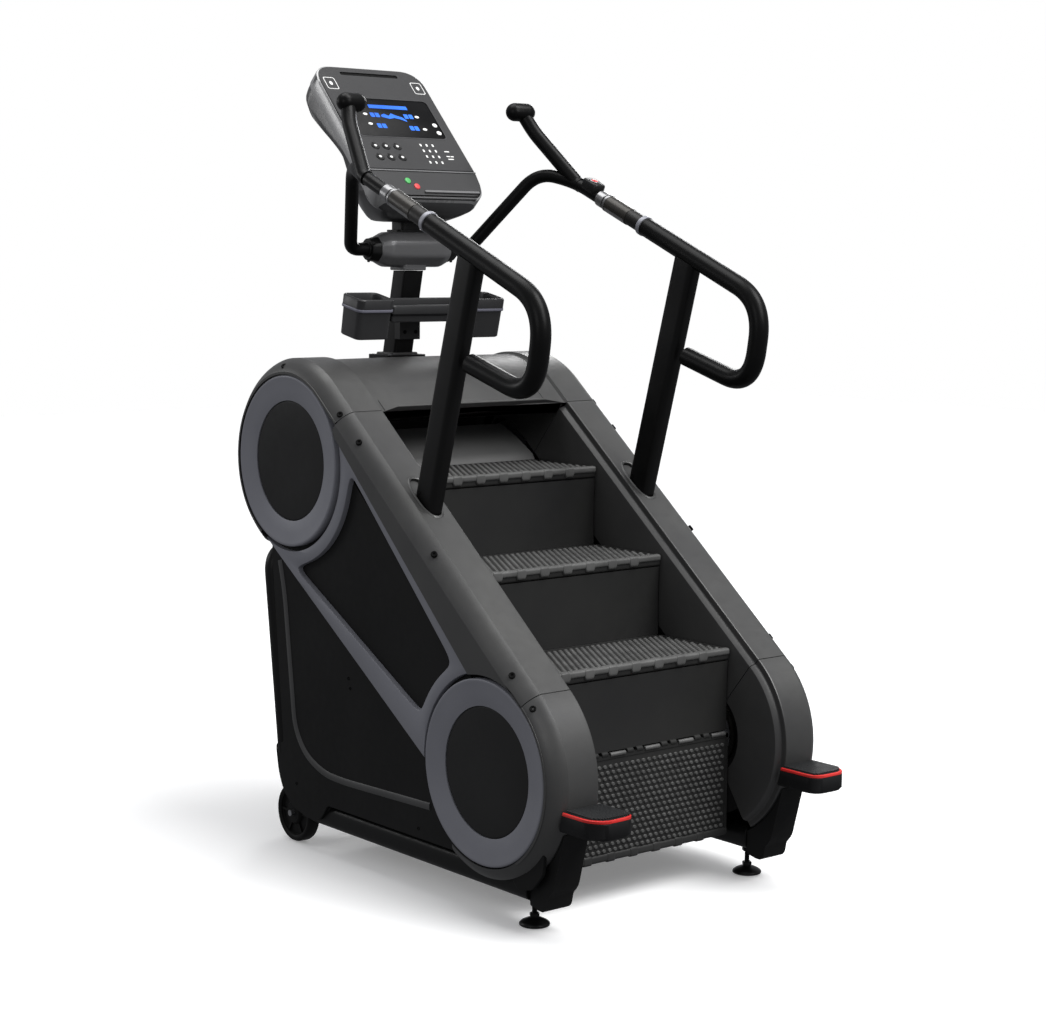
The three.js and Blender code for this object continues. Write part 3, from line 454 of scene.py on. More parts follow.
def screws(name, spots, direction, material, radius):
    """Recessed round screws at spots, all facing one way, as one shape on each side."""
    steps = ((0, -1.5), (0.35, -1.5), (0.45, 0.2), (0.8, 0.9), (1, 0.2), (1, -3), (0, -3))
    head = [(radius * share, height) for share, height in steps]
    shape = join(*(turn(head, spot, direction, 20) for spot in spots))
    pair(name, material, shape, crease=25)


# ---- side covers ----


def shoulder(inset):
    """The curve from the strip's crisp outer edge down to the side face, as (x, out) points."""
    start = (STRIP_OUT_X - inset * 0.4, COVER_R - inset)
    return bezier(start, (416 - inset, 249 - inset), (SIDE_X - inset, 220 + inset * 0.3), 14)


def cover_ring(wall, foot):
    """A closed cover section of (x, out) points: chamfered inner edge, flat strip, rounded shoulder."""
    top_in = [(WELL_X, wall), (WELL_X, 232), (WELL_X + 1, 236), (293, 241), (299, 244), (300, 246)]
    top_in += [(300.5, 257), (301.2, 259.2), (303.5, COVER_R)]
    side = [(SIDE_X, (foot + SHOULDER_R) / 2), (SIDE_X, foot + 1), (SIDE_X - 1, foot), (SIDE_X - 5, foot)]
    under = [(306, 255), (304, 250), (303, 241), (298, 237), (291.5, 233), (WELL_X + 5, 229)]
    return top_in + shoulder(0) + side + shoulder(5)[::-1] + under + [(WELL_X + 5, wall)]


def side_foot(along):
    """Where the long cover's side ends above the trim frame, and clear of both rings."""
    line = 132.5 + (along - 140) * 0.0776
    near = min(abs(along), abs(SPAN - along))
    ring = sqrt(max(SHOULDER_R**2 - near**2, 0))
    return min(max(line, ring), SHOULDER_R - 4)


def bent_rings(section, centre, start, end, steps):
    """A section of (x, radius) points carried round a turn's centre between two angles."""
    return [
        [(x, centre[0] + r * cos(angle), centre[1] + r * sin(angle)) for x, r in section]
        for angle in spaced(start, end, steps)
    ]


def socket_slab(half_along, half_x, low, high):
    """An oval slab where the post goes through the strip."""
    ring = oval(half_along, half_x, SOCKET)
    return loft([[on_slope(RAIL_X + b, a, n) for a, b in ring] for n in (low, high)])


def add_covers():
    stations = spaced(SEAM_LOW + 1, SEAM_HIGH - 1, 110)
    rings = [[on_slope(x, s, n) for x, n in cover_ring(76, side_foot(s))] for s in stations]
    hole = socket_slab(63, 25, 225, 290)
    pair("long_cover", PAINT, loft(rings), "slope_cover", cuts=[hole], crease=15)
    pair("post_socket_floor", PAINT, socket_slab(64, 26, 251, 254))

    section = cover_ring(110, SHOULDER_R - 1)
    rings = [[on_slope(x, SEAM_LOW - 1, n) for x, n in section]]
    rings += bent_rings(section, LOWER, SQUARE, radians(236), 60)
    pair("nose_cover", PAINT, loft(rings), "lower_cover", crease=15)
    wall = [(WELL_X, 111), (WELL_X, 206), (291, 206), (291, 111)]
    pair("nose_inner_wall", PANEL, loft(bent_rings(wall, LOWER, radians(235.8), radians(299.8), 20)))
    edge = [p for p in shoulder(0) if p[0] > 408]
    skirt = [(409, 236), *edge, (SIDE_X - 5, edge[-1][1])]
    pair("skirt", PAINT, loft(bent_rings(skirt, LOWER, radians(235.5), radians(300), 40)), crease=40)

    rim = []
    for (a, b), (c, d) in zip(oval(71, 31, SOCKET), oval(63.5, 25.5, SOCKET)):
        crest = ((a + c) / 2, (b + d) / 2, 262.6)
        cross = ((a, b, 259), (a, b, 260.6), crest, (c, d, 261.2), (c, d, 248), (a, b - (b - d) * 0.2, 252))
        rim.append([on_slope(RAIL_X + across, along, out) for along, across, out in cross])
    pair("post_socket_rim", PAINT, loft(rim, loop=True), crease=50)


def add_crown():
    half = [(0, 254), (120, 254), (232, 253.6), (292, 253), (298, 253.5), (303.5, COVER_R)] + shoulder(0)
    outer = [(-x, r) for x, r in half[:0:-1]] + half
    skin = [(x * (SIDE_X - 5) / SIDE_X, r - 5) for x, r in outer]
    ring = [(-SIDE_X, SHOULDER_R)] + outer + [(SIDE_X, SHOULDER_R), (SIDE_X - 5, SHOULDER_R)] + skin[::-1]
    ring += [(-SIDE_X + 5, SHOULDER_R)]
    rings = bent_rings(ring, UPPER, CROWN_START, SQUARE, 90)
    back, front = SPAN - 4, SEAM_HIGH + 1
    rings.append([on_slope(x, back, r) for x, r in ring])

    def lip(x):
        """The hood's front edge: straight across, and swept forward beside the strips."""
        share = min(max(abs(x) - CROWN_CORNER_X, 0) / 62, 1)
        return front + 19 * (1 - share**1.6)

    for share in spaced(0, 1, 6)[1:]:
        rings.append([on_slope(x, back + (lip(x) - back) * share, r) for x, r in ring])
    piece("crown", PAINT, loft(rings), "crown_hood", crease=15)

    # Inner walls under the hood, and the rounded upper corners of its mouth
    wall = [(286, 76), (286, 253), (291, 253), (291, 76)]
    rings = [[on_slope(x, s, n) for x, n in wall] for s in (front, 960, 1000, SPAN)]
    rings += bent_rings(wall, UPPER, SQUARE - radians(4), SQUARE - radians(60), 14)
    pair("crown_wall", PAINT, loft(rings))
    gusset = [(286.5, 254.5), (CROWN_CORNER_X, 254.5)]
    gusset += [(CROWN_CORNER_X + 50.5 * sin(t), 203 + 46 * cos(t)) for t in spaced(0, pi / 2, 12)]
    rings = [
        [on_slope(x, s - max(0, x - CROWN_CORNER_X) * 0.3, n) for x, n in gusset]
        for s in (SEAM_HIGH + 19, SEAM_HIGH + 60)
    ]
    pair("crown_corner", PAINT, loft(rings), crease=50)
    lip_bar = [on_slope(x, SEAM_HIGH + 20, 251.5) for x in (-238, -120, 0, 120, 238)]
    piece("crown_lip", PAINT, tube(lip_bar, 3.6, 16))


def add_rings():
    ring = [(DISC_R, -20), (DISC_R, -11.4), (DISC_R + 2, -10.6), (185, -5.4), (RING_R - 8, -1.2)]
    ring += [(RING_R - 4, -0.3), (RING_R - 1.4, -1.4), (RING_R, -4), (RING_R, -20)]
    disc = [(0, -11.5), (80, -11.8), (DISC_R - 6, -12.6), (DISC_R - 1.5, -13.6), (DISC_R - 0.4, -15)]
    disc += [(DISC_R - 0.4, -20), (0, -20)]
    well = [(SHOULDER_R + 6, -30), (SHOULDER_R + 6, -27), (DISC_R - 8, -27), (DISC_R - 8, -30)]
    for name, centre in (("upper", UPPER), ("lower", LOWER)):
        origin = (SIDE_X - 0.5, *centre)
        pair(name + "_slate_ring", SLATE, turn(ring, origin, steps=128), name + "_ring", crease=40)
        pair(name + "_disc", DISC, turn(disc, origin, steps=128), crease=40)
        # A near black ring deep behind each slate ring: painted shade in the gap round it.
        pair(name + "_ring_well", RECESS_SHADE, turn(well, origin, steps=96))


def line_meets_circle(a, b, centre, radius, far):
    """Where the line through a and b meets a circle, on the side nearer to the point far."""
    a, b, centre = Vector(a), Vector(b), Vector(centre)
    d = (b - a).normalized()
    foot = (centre - a).dot(d)
    off = (centre - a - d * foot).length
    reach = sqrt(max(radius**2 - off**2, 0))
    spots = [a + d * (foot + reach), a + d * (foot - reach)]
    return min(spots, key=lambda p: (p - Vector(far)).length)


def frame_loop(top, low, upper_r, lower_r, passes):
    """The closed loop between two lines and two ring circles, in slope coordinates, evenly stepped."""
    line_steps, arc_steps = 90, 40
    centre_up, centre_low, mid = (SPAN, 0), (0, 0), (SPAN / 2, 0)
    a = line_meets_circle(*top, centre_low, lower_r, mid)
    b = line_meets_circle(*top, centre_up, upper_r, mid)
    c = line_meets_circle(*low, centre_up, upper_r, mid)
    d = line_meets_circle(*low, centre_low, lower_r, mid)
    loop = [a.lerp(b, i / line_steps) for i in range(line_steps)]
    start, end = atan2(b.y, b.x - SPAN), atan2(c.y, c.x - SPAN) + 2 * pi
    if end - start > 2 * pi:
        end -= 2 * pi
    loop += arc(centre_up, upper_r, start, end, arc_steps)[:-1]
    loop += [c.lerp(d, i / line_steps) for i in range(line_steps)]
    loop += arc(centre_low, lower_r, atan2(d.y, d.x), atan2(a.y, a.x), arc_steps)[:-1]
    for _ in range(passes):
        loop = [(loop[i - 1] + loop[i] * 2 + loop[(i + 1) % len(loop)]) / 4 for i in range(len(loop))]
    return loop


def add_trim():
    outer = frame_loop(((140, 130.5), (1000, 197)), ((1000, -226), (140, -147)), 230, 230, 0)
    window = frame_loop(((140, 95), (1000, 186)), ((1000, -222), (140, -64)), 266, 262, 34)
    face, back = 419.0, PANEL_OUT_X + 0.3
    rings = []
    for o, w in zip(outer, window):
        band = w - o
        inset = band.normalized() * min(2.0, band.length * 0.3)
        cross = [(face - 2, o), (face - 0.5, o + inset * 0.35), (face, o + inset), (face + 0.6, (o + w) / 2)]
        cross += [(face, w - inset), (face - 0.5, w - inset * 0.35), (face - 2, w), (back, w), (back, o)]
        rings.append([on_slope(x, p.x, p.y) for x, p in cross])
    pair("slate_frame", SLATE, loft(rings, loop=True), "trim_frame", crease=50)


def add_side_panels():
    outline = [(-400, 134), (296, 134), (318, 104), (342, 84), (384, 84), (448, 98), (498, 132), (522, 180)]
    outline += [(533, 240), (531, 254), (498, 262), (546, 745)]
    outline += [on_slope(0, s, n)[1:] for s, n in ((1010, -190), (1040, 150), (-40, 110), (-190, -40))]
    reach = [10, 8, 14, 12, 12, 18, 24, 24, 10, 8, 8, 14, 10, 10, 10, 10]
    body = prism(soft(outline, reach), PANEL_IN_X, PANEL_OUT_X)
    pair("side_panel_skin", PANEL, body, "side_panel", bevel=1.5)
    fender = [(292, 240), (292, 128), (318, 106), (342, 88), (384, 88), (444, 102), (492, 134), (516, 182)]
    fender = soft(fender + [(526, 240)], 14)
    well = cylinder(WHEEL_R + 8, -30, 58, (341, WHEEL_Y, WHEEL_Z), steps=64)
    pair("wheel_fender", PANEL, prism(fender, 341, PANEL_IN_X - 0.3), bevel=2, cuts=[well])
    path = [(509, 739), (487, 655), (443, 313), (398, 251), (314, 215), (226, 211), (-135, 221)]
    path = rounded_path([(PANEL_OUT_X, y, z) for y, z in path], 60, 8)
    strip = [(-9, -2), (9, -2), (9, 0.8), (6, 3.2), (-6, 3.2), (-9, 0.8)]
    pair("side_bead", BEAD, loft(sweep(path, strip, X_AXIS)), crease=50)
    spots = [(PANEL_OUT_X + 0.5, y, z) for y, z in ((203, 477), (196, 453), (437, 165), (-88, 158))]
    # Screws in near black: painted shade of their holes.
    screws("panel_screws", spots, X_AXIS, RECESS_SHADE, 4.5)
    head = [(0, -1), (2.4, -1), (3, 0.6), (6, 1.6), (8, 0.4), (8, -5), (0, -5)]
    direction = Vector((0.62, -0.785 * ALONG_Z, 0.785 * ALONG_Y))
    spots = ((1204, 170), (946, 242), (844, 244), (458, 248), (80, 243), (-18, 240))
    heads = [turn(head, Vector(on_slope(414, *spot)) + direction * 1.6, direction, 20) for spot in spots]
    # Screw heads in near black: painted shade of their holes.
    pair("shoulder_screws", RECESS_SHADE, join(*heads), crease=25)


# ---- base, legs, wheels, feet and pads ----


def add_base():
    rail = soft([(304, 70), (396, 70), (396, 130), (304, 130)], 24, 5)
    shapes = []
    for side in (1, -1):
        rings = []
        for y, scale in ((-485, 1.0), (388, 1.0), (393, 0.9), (396, 0.7)):
            rings.append([(side * (350 + (x - 350) * scale), y, 100 + (z - 100) * scale) for x, z in rail])
        low_x, high_x = sorted((side * 306, side * 336))
        shapes += [loft(rings), block((low_x, 380, 56), (high_x, 508, 128))]
    shapes += [block((-306, -370, 94), (306, -324, 128)), block((-306, 332, 74), (306, 378, 128))]
    piece("base_rails", STEEL, join(*shapes), "base_frame", bevel=3)

    outline = [(-486, 62), (-486, 134), (-474, 150), (-560, 257), (-604, 257), (-598, 235), (-566, 112)]
    outline += [(-548, 92), (-543, 66), (-533, 55), (-515, 56)]
    leg = prism(soft(outline, [4, 4, 20, 4, 6, 14, 14, 6, 8, 8, 6]), 309, 385)
    clear = cylinder(COVER_R + 2, -60, 60, (350, *LOWER))
    pair("leg_cover", PANEL, leg, "front_leg", bevel=4, cuts=[clear], segments=3)
    side = [(-470, 96), (-440, 126), (-330, 128), (-330, 150), (-420, 190), (-560, 200), (-556, 150)]
    pair("leg_side_plate", PANEL, prism(soft(side + [(-520, 108)], 10), 398, 408), bevel=2)
    # Screws in near black: painted shade of their holes.
    screws("leg_screws", [(408.5, -455, 150), (408.5, -380, 140)], X_AXIS, RECESS_SHADE, 5)


def add_back():
    path = rounded_path([(-382, 514, 232), (-382, 580, 756), (382, 580, 756), (382, 514, 232)], 60, 14)
    piece("rear_tube", STEEL, tube(path, 23, 28), "rear_hoop")

    def on_back(x, z, out):
        return (x, 508 + (z - 262) * 54 / 464 + out, z)

    def back_slab(outline, low, high):
        return loft([[on_back(x, z, out) for x, z in outline] for out in (low, high)])

    shapes = [back_slab(rounded_box(350, 230, 24, (0, 494)), -2, 2.5)]
    shapes += [back_slab(rounded_box(180, 5, 5, (0, 560 + i * 20)), 1, 7) for i in range(7)]
    border = rounded_box(330, 118, 20, (0, 402))
    inner = rounded_box(322, 110, 16, (0, 402))
    rings = [[on_back(*p, 2), on_back(*p, 6), on_back(*q, 6), on_back(*q, 2)] for p, q in zip(border, inner)]
    piece("rear_cover", PANEL, join(*shapes, loft(rings, loop=True)), "rear_panel", bevel=1)


def both_ways(half):
    """A profile that is the same on both sides of the middle, from its first half."""
    return half + [(r, -t) for r, t in half[::-1]]


def add_wheels():
    tyre = both_ways([(60, -16), (64, -19.5), (70, -20), (74, -17.5), (76, -12)])
    hub = both_ways([(8.4, -18), (26, -18), (30, -14), (32, -8), (58, -7), (61, -12)])
    origin = (WHEEL_X, WHEEL_Y, WHEEL_Z)
    shapes = [turn([(r, t * 0.88) for r, t in tyre], origin, steps=72), turn(hub, origin, steps=72)]
    bar = ((-12, -3), (12, -3), (12, 3), (-12, 3))
    for i in range(6):
        c, s = cos(pi * i / 3), sin(pi * i / 3)
        rings = [
            [(WHEEL_X + a, WHEEL_Y + r * c - b * s, WHEEL_Z + r * s + b * c) for a, b in bar]
            for r in (27, 60)
        ]
        shapes.append(loft(rings))
    bodies = ("right_wheel", "left_wheel")
    pair("wheel", TYRE, join(*shapes), "transport_wheel", bodies, crease=40)


def add_feet():
    profile = [(0, 0), (33, 0), (35.6, 1.5), (36, 4), (35, 6.5), (30, 10.5), (22, 14.5), (13, 17.5)]
    profile += [(10, 18.5), (10, 20), (7, 21)]
    for z in range(20, 117, 2):
        profile += [(5.4, z), (6.2, z + 1), (5.4, z + 2)]
    shapes = [turn(profile + [(0, 118)], (FOOT_X, FOOT_Y, 0), (0, 0, 1), 48)]
    for low, high, radius in ((20.5, 29, 12), (56, 64, 13)):
        hexagon, small = (polygon(6, r, (FOOT_X, FOOT_Y)) for r in (radius, radius * 0.9))
        shapes.append(stacked((small, low), (hexagon, low + 1.2), (hexagon, high - 1.2), (small, high)))
    bodies = ("right_foot", "left_foot")
    pair("levelling_pad", FOOT, join(*shapes), "levelling_foot", bodies, crease=35)


def pad_outline(inset, back=-590):
    """The step-off pad seen from above, drawn in all round but cut straight at its back."""
    middle_x = 345
    out = []
    for x, y in ((286, -590), (286, -731), (380, -733), (404, -700), (404, -590)):
        out.append((x + copysign(inset, middle_x - x), min(y + (inset if y < -600 else 0), back)))
    return soft(out, [0, 34, 40, 40, 0], 10)


def add_pads():
    clear = cylinder(COVER_R + 0.4, -90, 90, (345, *LOWER))
    whole = pad_outline(0)
    body = stacked((pad_outline(4), 260), (whole, 266), (whole, 297), (pad_outline(1.5), 299))
    pair("pad_body", PAD, body, "foot_pad", cuts=[clear], crease=40)
    low, rounded, high, line_back = 299.3, 304.6, 305.8, -600
    rings = []
    for (a, b), (c, d) in zip(pad_outline(0.3), pad_outline(5)):
        b, d = min(b, line_back), min(d, line_back)
        edge = (a + (c - a) * 0.3, b + (d - b) * 0.3, high)
        rings.append([(a, b, low), (a, b, rounded), edge, (c, d, high), (c, d, low)])
    pair("pad_red_line", PAD_RED, loft(rings), cuts=[clear], crease=50)
    pair("pad_tread", PAD, upright(pad_outline(4.4, -618), low, 307), bevel=1)
    ribs = []
    for x in range(296, 398, 6):
        front = -724 + max(0, x - 362) ** 2 * 0.021 + max(0, 302 - x) ** 2 * 0.12
        rib = rounded_box(1.9, (-619 - front) / 2, 1.5, (x, (front - 619) / 2), 2)
        ribs.append(upright(rib, 306.8, 310))
    pair("pad_ribs", PAD_RIB, join(*ribs))


# ---- staircase ----


def stepped(start, end, pitch):
    """Numbers from start in steps of pitch, short of end."""
    out = []
    while start < end:
        out.append(start)
        start += pitch
    return out


def tread_shapes():
    """A tread's slab, studs and nosing, with its nose line at the origin and its depth along +Y."""
    depth = GOING + NOSE_OVERHANG - 1
    slab = soft([(depth, -1.5), (4, -1.5), (4, -27), (12, -29.8), (depth, -29.8)], [2, 3, 6, 3, 2], 3)
    slabs = [prism(slab, -STEP_HALF, STEP_HALF)]
    slabs.append(block((-STEP_HALF, 16, -2), (-STEP_HALF + 9, depth, 0)))
    slabs.append(block((STEP_HALF - 9, 16, -2), (STEP_HALF, depth, 0)))
    slabs.append(block((-STEP_HALF, depth - 10, -2), (STEP_HALF, depth, 0)))

    def octagon(x, y, half_x, half_y, z):
        return [(x + half_x * a, y + half_y * b, z) for a, b in polygon(8, 1)]

    studs, pitch = [], 17.5
    for row, y in enumerate(stepped(27.0, depth - 16, 14.4)):
        for x in stepped(-STEP_HALF + 18 + row % 2 * pitch / 2, STEP_HALF - 15, pitch):
            studs.append(loft([octagon(x, y, 6.6, 5.0, -1.8), octagon(x, y, 4.6, 3.4, 1.6)]))
    bead = soft([(0.2, -2), (0.2, -15), (14, -15), (20, -1.5), (16, 1.2), (5, 1.2)], [5, 6, 3, 3, 3, 5], 4)
    nose = [prism(bead, -STEP_HALF + 1, STEP_HALF - 1)]
    knuckle = [(-1.6, 0), (-1.6, -23), (12, -25), (22, -1), (18, 2.2), (3, 2.2)]
    knuckle = soft(knuckle, [7, 8, 3, 3, 3, 6], 4)
    for x in stepped(-STEP_HALF + 34, STEP_HALF - 20, 73):
        rings = []
        for dx, grow in ((-14, 0.55), (-11.5, 0.95), (-9, 1.0), (9, 1.0), (11.5, 0.95), (14, 0.55)):
            deep = 0.85 + 0.15 * grow
            rings.append([(x + dx, 10 + (y - 10) * deep, -9 + (z + 9) * grow) for y, z in knuckle])
        nose.append(loft(rings))
    return join(*slabs), join(*studs), join(*nose)


def add_tread(name, shapes, nosing, move, body):
    slab, studs, nose = (moved(shape, move) for shape in shapes)
    piece(name + "_slab", STEP, slab, name, body, bevel=0.5)
    piece(name + "_studs", STUD, studs, body=body, crease=60)
    piece(name + "_nosing", nosing, nose, body=body, crease=50)


def add_staircase():
    shapes = tread_shapes()
    for i in range(3):
        y0, z0 = NOSE_Y + i * GOING, NOSE_Z + i * RISE
        add_tread(f"tread_{i + 2}", shapes, NOSING, lambda x, y, z: (x, y + y0, z + z0), "flight")
        face, top, foot = y0 + NOSE_OVERHANG, z0 - 30.3, z0 - RISE + 0.3
        rings = []
        for share in spaced(0, 1, 12):
            z = foot + (top - foot) * share
            front = face + 2.6 * sin(pi * share) ** 0.8
            corners = ((-1, front), (1, front), (1, face + 8), (-1, face + 8))
            rings.append([(side * STEP_HALF, y, z) for side, y in corners])
        piece(f"riser_{i + 2}_panel", RISER, loft(rings), f"riser_{i + 2}", "flight", crease=40)
    front = [(309, NOSE_Z + 2 * RISE + 0.6), (318, 992), (345, 1009), (390, 1034.5), (434, 1056), (455, 1065)]
    curve = []
    for here, after in zip(front, front[1:]):
        curve += [here, tuple((Vector(here) + Vector(after)) / 2)]
    curve.append(front[-1])
    drum = prism(curve + [(y + 5, z - 6.5) for y, z in curve[::-1]], -STEP_HALF, STEP_HALF)
    # The top riser takes the lighter drum material: painted light on the riser plastic.
    piece("top_drum", DRUM_PAINTED_LIGHT, drum, "riser_5", "flight", bevel=1.5, crease=50)

    hinge_y, hinge_z = NOSE_Y, NOSE_Z - RISE - 6
    foot = hinge_z - GOING - NOSE_OVERHANG
    # The hanging tread takes the darker nosing copy: painted shade on the same nosing.
    add_tread("tread_1", shapes, LOW_NOSING_SHADE, lambda x, y, z: (x, hinge_y - z, foot + y), "folding_tread")
    knuckle = [(0, 0), (6.5, 0), (7.5, 1), (7.5, 19), (6.5, 20), (0, 20)]
    pin = [(0, 0), (5, 0), (5.5, 0.6), (5.5, 47), (0, 47)]
    starts = stepped(-STEP_HALF + 6, STEP_HALF - 40, 110)
    knuckles = [turn(knuckle, (x + dx, hinge_y + 6, hinge_z), steps=20) for x in starts for dx in (2, 32)]
    pins = [turn(pin, (x + 58, hinge_y + 2, hinge_z - 1), steps=16) for x in starts]
    piece("hinge_knuckles", STEP, join(*knuckles), body="folding_tread", crease=40)
    piece("hinge_pins", NOSING, join(*pins), body="folding_tread", crease=40)


# ---- posts, handrails, neck, mast and tray ----


def post_ring(tilt, level):
    """The post's rounded section where it meets a tilted plane through level, a (y, z) point."""
    lean, rise = (POST_TOP - POST_FOOT).normalized(), sin(tilt) / cos(tilt)
    ring = []
    for x, deep in rounded_box(POST_HALF_X, 38, 17, (0, 0), 8):
        y = POST_FOOT.x + deep
        t = (level[1] - POST_FOOT.y + (y - level[0]) * rise) / (lean.y - lean.x * rise)
        ring.append((RAIL_X + x, y + t * lean.x, POST_FOOT.y + t * lean.y))
    return ring


def add_posts_and_rails():
    seat, under = on_slope(0, 500, COVER_R - 18)[1:], on_rail(0, 0, -14)[1:]
    pair("post_tube", STEEL, loft([post_ring(SLOPE, seat), post_ring(RAIL_TILT, under)]), "post", crease=40)
    # Screws in near black: painted shade of their holes.
    for name, side in (("post_screws", 1), ("post_inner_screws", -1)):
        x = RAIL_X + side * (POST_HALF_X + 0.3)
        screws(name, [(x, -22, 930), (x, -36, 960)], (side, 0, 0), RECESS_SHADE, 5)

    collar_spot = on_rail(RAIL_X, 0)
    thin = [(NECK_HALF - 6, NECK_Y, NECK_Z), (192, NECK_Y, NECK_Z), (300, 330, 1742)]
    thin = rounded_path(thin + [on_rail(RAIL_X, 310), on_rail(RAIL_X, -2)], 55, 12)
    loop = [collar_spot, (RAIL_X, -470, 1417), (RAIL_X, -436, 1205), (RAIL_X, -206, 1274)]
    horn = [on_rail(RAIL_X, 285), on_rail(RAIL_X, 300), (299, 346, 1848), (286, 369, 1888)]
    bars = [tube(thin, TUBE_R, 28), tube(rounded_path(loop, 95, 20), GRIP_TUBE_R, 36)]
    bars.append(tube(rounded_path(horn, 40, 10), 19, 28))
    collar = [(0, -6), (18, -6), (22.5, -4), (24, 0), (24, 6), (0, 6)]
    dome = [(24 * cos(pi / 16 * k), -18 - 24 * sin(pi / 16 * k)) for k in range(8)] + [(0, -42)]
    knob = turn(both_ways(dome[::-1]), KNOB, (-sin(KNOB_HEADING), cos(KNOB_HEADING), 0), 40)
    shapes = [*bars, turn(collar, collar_spot, RAIL_AHEAD, 40), knob]
    pair("rail", RAIL, join(*shapes), "handrail", crease=45)

    def sleeve(start, end, radius):
        inner, soft_edge = TUBE_R + 0.4, 1.2
        profile = [(inner, start), (radius - soft_edge, start), (radius, start + soft_edge)]
        profile += [(radius, end - soft_edge), (radius - soft_edge, end), (inner, end)]
        return turn(profile, collar_spot, RAIL_AHEAD, 48)

    pair("sensor_ring", RINGS, sleeve(8, 20, 26), "hand_sensor")
    pair("sensor_front_sleeve", GRIP, sleeve(20.5, 70, 21.5))
    pair("sensor_plate", SLEEVE, sleeve(70.5, 158, 22.3))
    pair("sensor_joint_ring", SENSOR, join(sleeve(158.5, 166, 23), sleeve(172, 198, 21)))
    angles = spaced(radians(200), radians(340), 12)
    band = [(23, a) for a in angles] + [(21.8, a) for a in angles[::-1]]
    rings = [[on_rail(RAIL_X + r * cos(a), along, r * sin(a)) for r, a in band] for along in (74, 154)]
    pair("sensor_under_plate", SENSOR, loft(rings), crease=40)
    spots = [on_rail(RAIL_X, along, -GRIP_TUBE_R + 0.5) for along in (-14, -26, -38)]
    screws("rail_screws", spots, -RAIL_OUT, BARE, 3.2)


def add_control_pod():
    rings = []
    rows = ((3, 17, 27), (10, 19.5, 28), (26, 19.5, 28), (30, 17.5, 26), (31, 16, 24.5))
    for out, half_x, half_along in rows:
        outline = rounded_box(half_along, half_x, 9, (POD_ALONG, 0), 5)
        rings.append([on_rail(RAIL_X + across, along, out) for along, across in outline])
    seat = on_rail(RAIL_X, POD_ALONG, 30.5)
    pocket = cylinder(9.6, -6, 8, seat, RAIL_OUT, 40)
    piece("pod_body", POD, loft(rings), "control_pod", cuts=[pocket], crease=35)
    ring = [(9.8, 0), (9.8, 1.6), (11, 2.4), (13, 2.4), (14, 1.2), (14, 0)]
    piece("pod_ring", SENSOR, turn(ring, on_rail(RAIL_X, POD_ALONG, 30.6), RAIL_OUT, 40))
    cap = [(0, -3), (9, -3), (9, 1.6), (8, 2.8), (4, 3.4), (0, 3.5)]
    piece("thumb_button_cap", RED, turn(cap, seat, RAIL_OUT, 40), "control_button", "thumb_button")


def barrel_ring(x, radius, soften):
    flats = soft(polygon(8, radius * 1.05, start=pi / 8), soften, 5)
    return [(x, NECK_Y + a, NECK_Z + b) for a, b in flats]


def add_neck():
    half = [(114, 28), (113.5, 32), (110, 36), (92, 44), (84, 46.4), (76, NECK_R)]
    stations = [(-x, r) for x, r in half] + half[::-1]
    barrel = loft([barrel_ring(x, r, 9) for x, r in stations])
    piece("neck_barrel", NECK, barrel, "neck_housing", crease=24)
    caps = []
    for side in (-1, 1):
        axis = (side, 0, 0)
        rows = ((106, 33), (118, 33), (128, 30), (136, 29), (139, 27))
        caps.append(loft([barrel_ring(side * x, r, 6) for x, r in rows]))
        flange = [(0, 0), (21, 0), (21, 3), (19, 5), (0, 5)]
        caps.append(turn(flange, (side * 138.5, NECK_Y, NECK_Z), axis, 36))
        for y, z in polygon(3, 29, (NECK_Y, NECK_Z), 0.5):
            caps.append(turn([(0, 0), (4.5, 0), (4.5, 4), (3, 5), (0, 5)], (side * 133, y, z), axis, 12))
    piece("neck_caps", STEEL, join(*caps), crease=30)
    neck = upright(rounded_box(30, 27, 9, (0, 514)), NECK_Z + 20, 1640)
    boot = upright(rounded_box(46, 31, 12, (0, 512)), NECK_Z + 38, NECK_Z + 52)
    piece("neck_block", STEEL, join(neck, boot), bevel=2)
    collar = upright(rounded_box(38, 34, 10, (0, 504)), NECK_Z - 54, NECK_Z - 38)
    piece("neck_collar", NECK, collar, bevel=3, segments=3)


def add_mast():
    rows = ((1205, 563.3), (1252, 553), (1480, 503))
    column = stacked(*((rounded_box(31, 28, 7, (0, y), 5), z) for z, y in rows))
    clear = cylinder(252, -100, 100, (0, *UPPER))
    flange = upright(rounded_box(62, 50, 12, (0, MAST_FOOT_Y)), 1205, 1257)
    boot = upright(rounded_box(44, 38, 10, (0, MAST_FOOT_Y)), 1250, 1263)
    piece("mast_column", STEEL, column, "mast", bevel=1.5, cuts=[clear])
    piece("mast_foot", STEEL, flange, bevel=2.5, cuts=[clear])
    piece("mast_boot", PAINT, boot, bevel=3)
    screws("mast_screws", [(50, 515, 1257), (50, 590, 1257)], (0, 0, 1), BARE, 6)


def tipped(x, y, z):
    """A point of the level tray, tipped with its front edge down."""
    c, s = cos(TRAY_TILT), sin(TRAY_TILT)
    return (x, TRAY_Y + (y - TRAY_Y) * c - (z - TRAY_Z) * s, TRAY_Z + (y - TRAY_Y) * s + (z - TRAY_Z) * c)


def hollow_box(half_x, half_y, corner, centre, levels):
    """Skin over tipped rounded rectangles: levels are (z, how much narrower than the outline)."""
    rings = []
    for z, inset in levels:
        outline = rounded_box(half_x - inset, half_y - inset, max(corner - inset * 0.5, 4), centre)
        rings.append([tipped(x, y, z) for x, y in outline])
    return loft(rings)


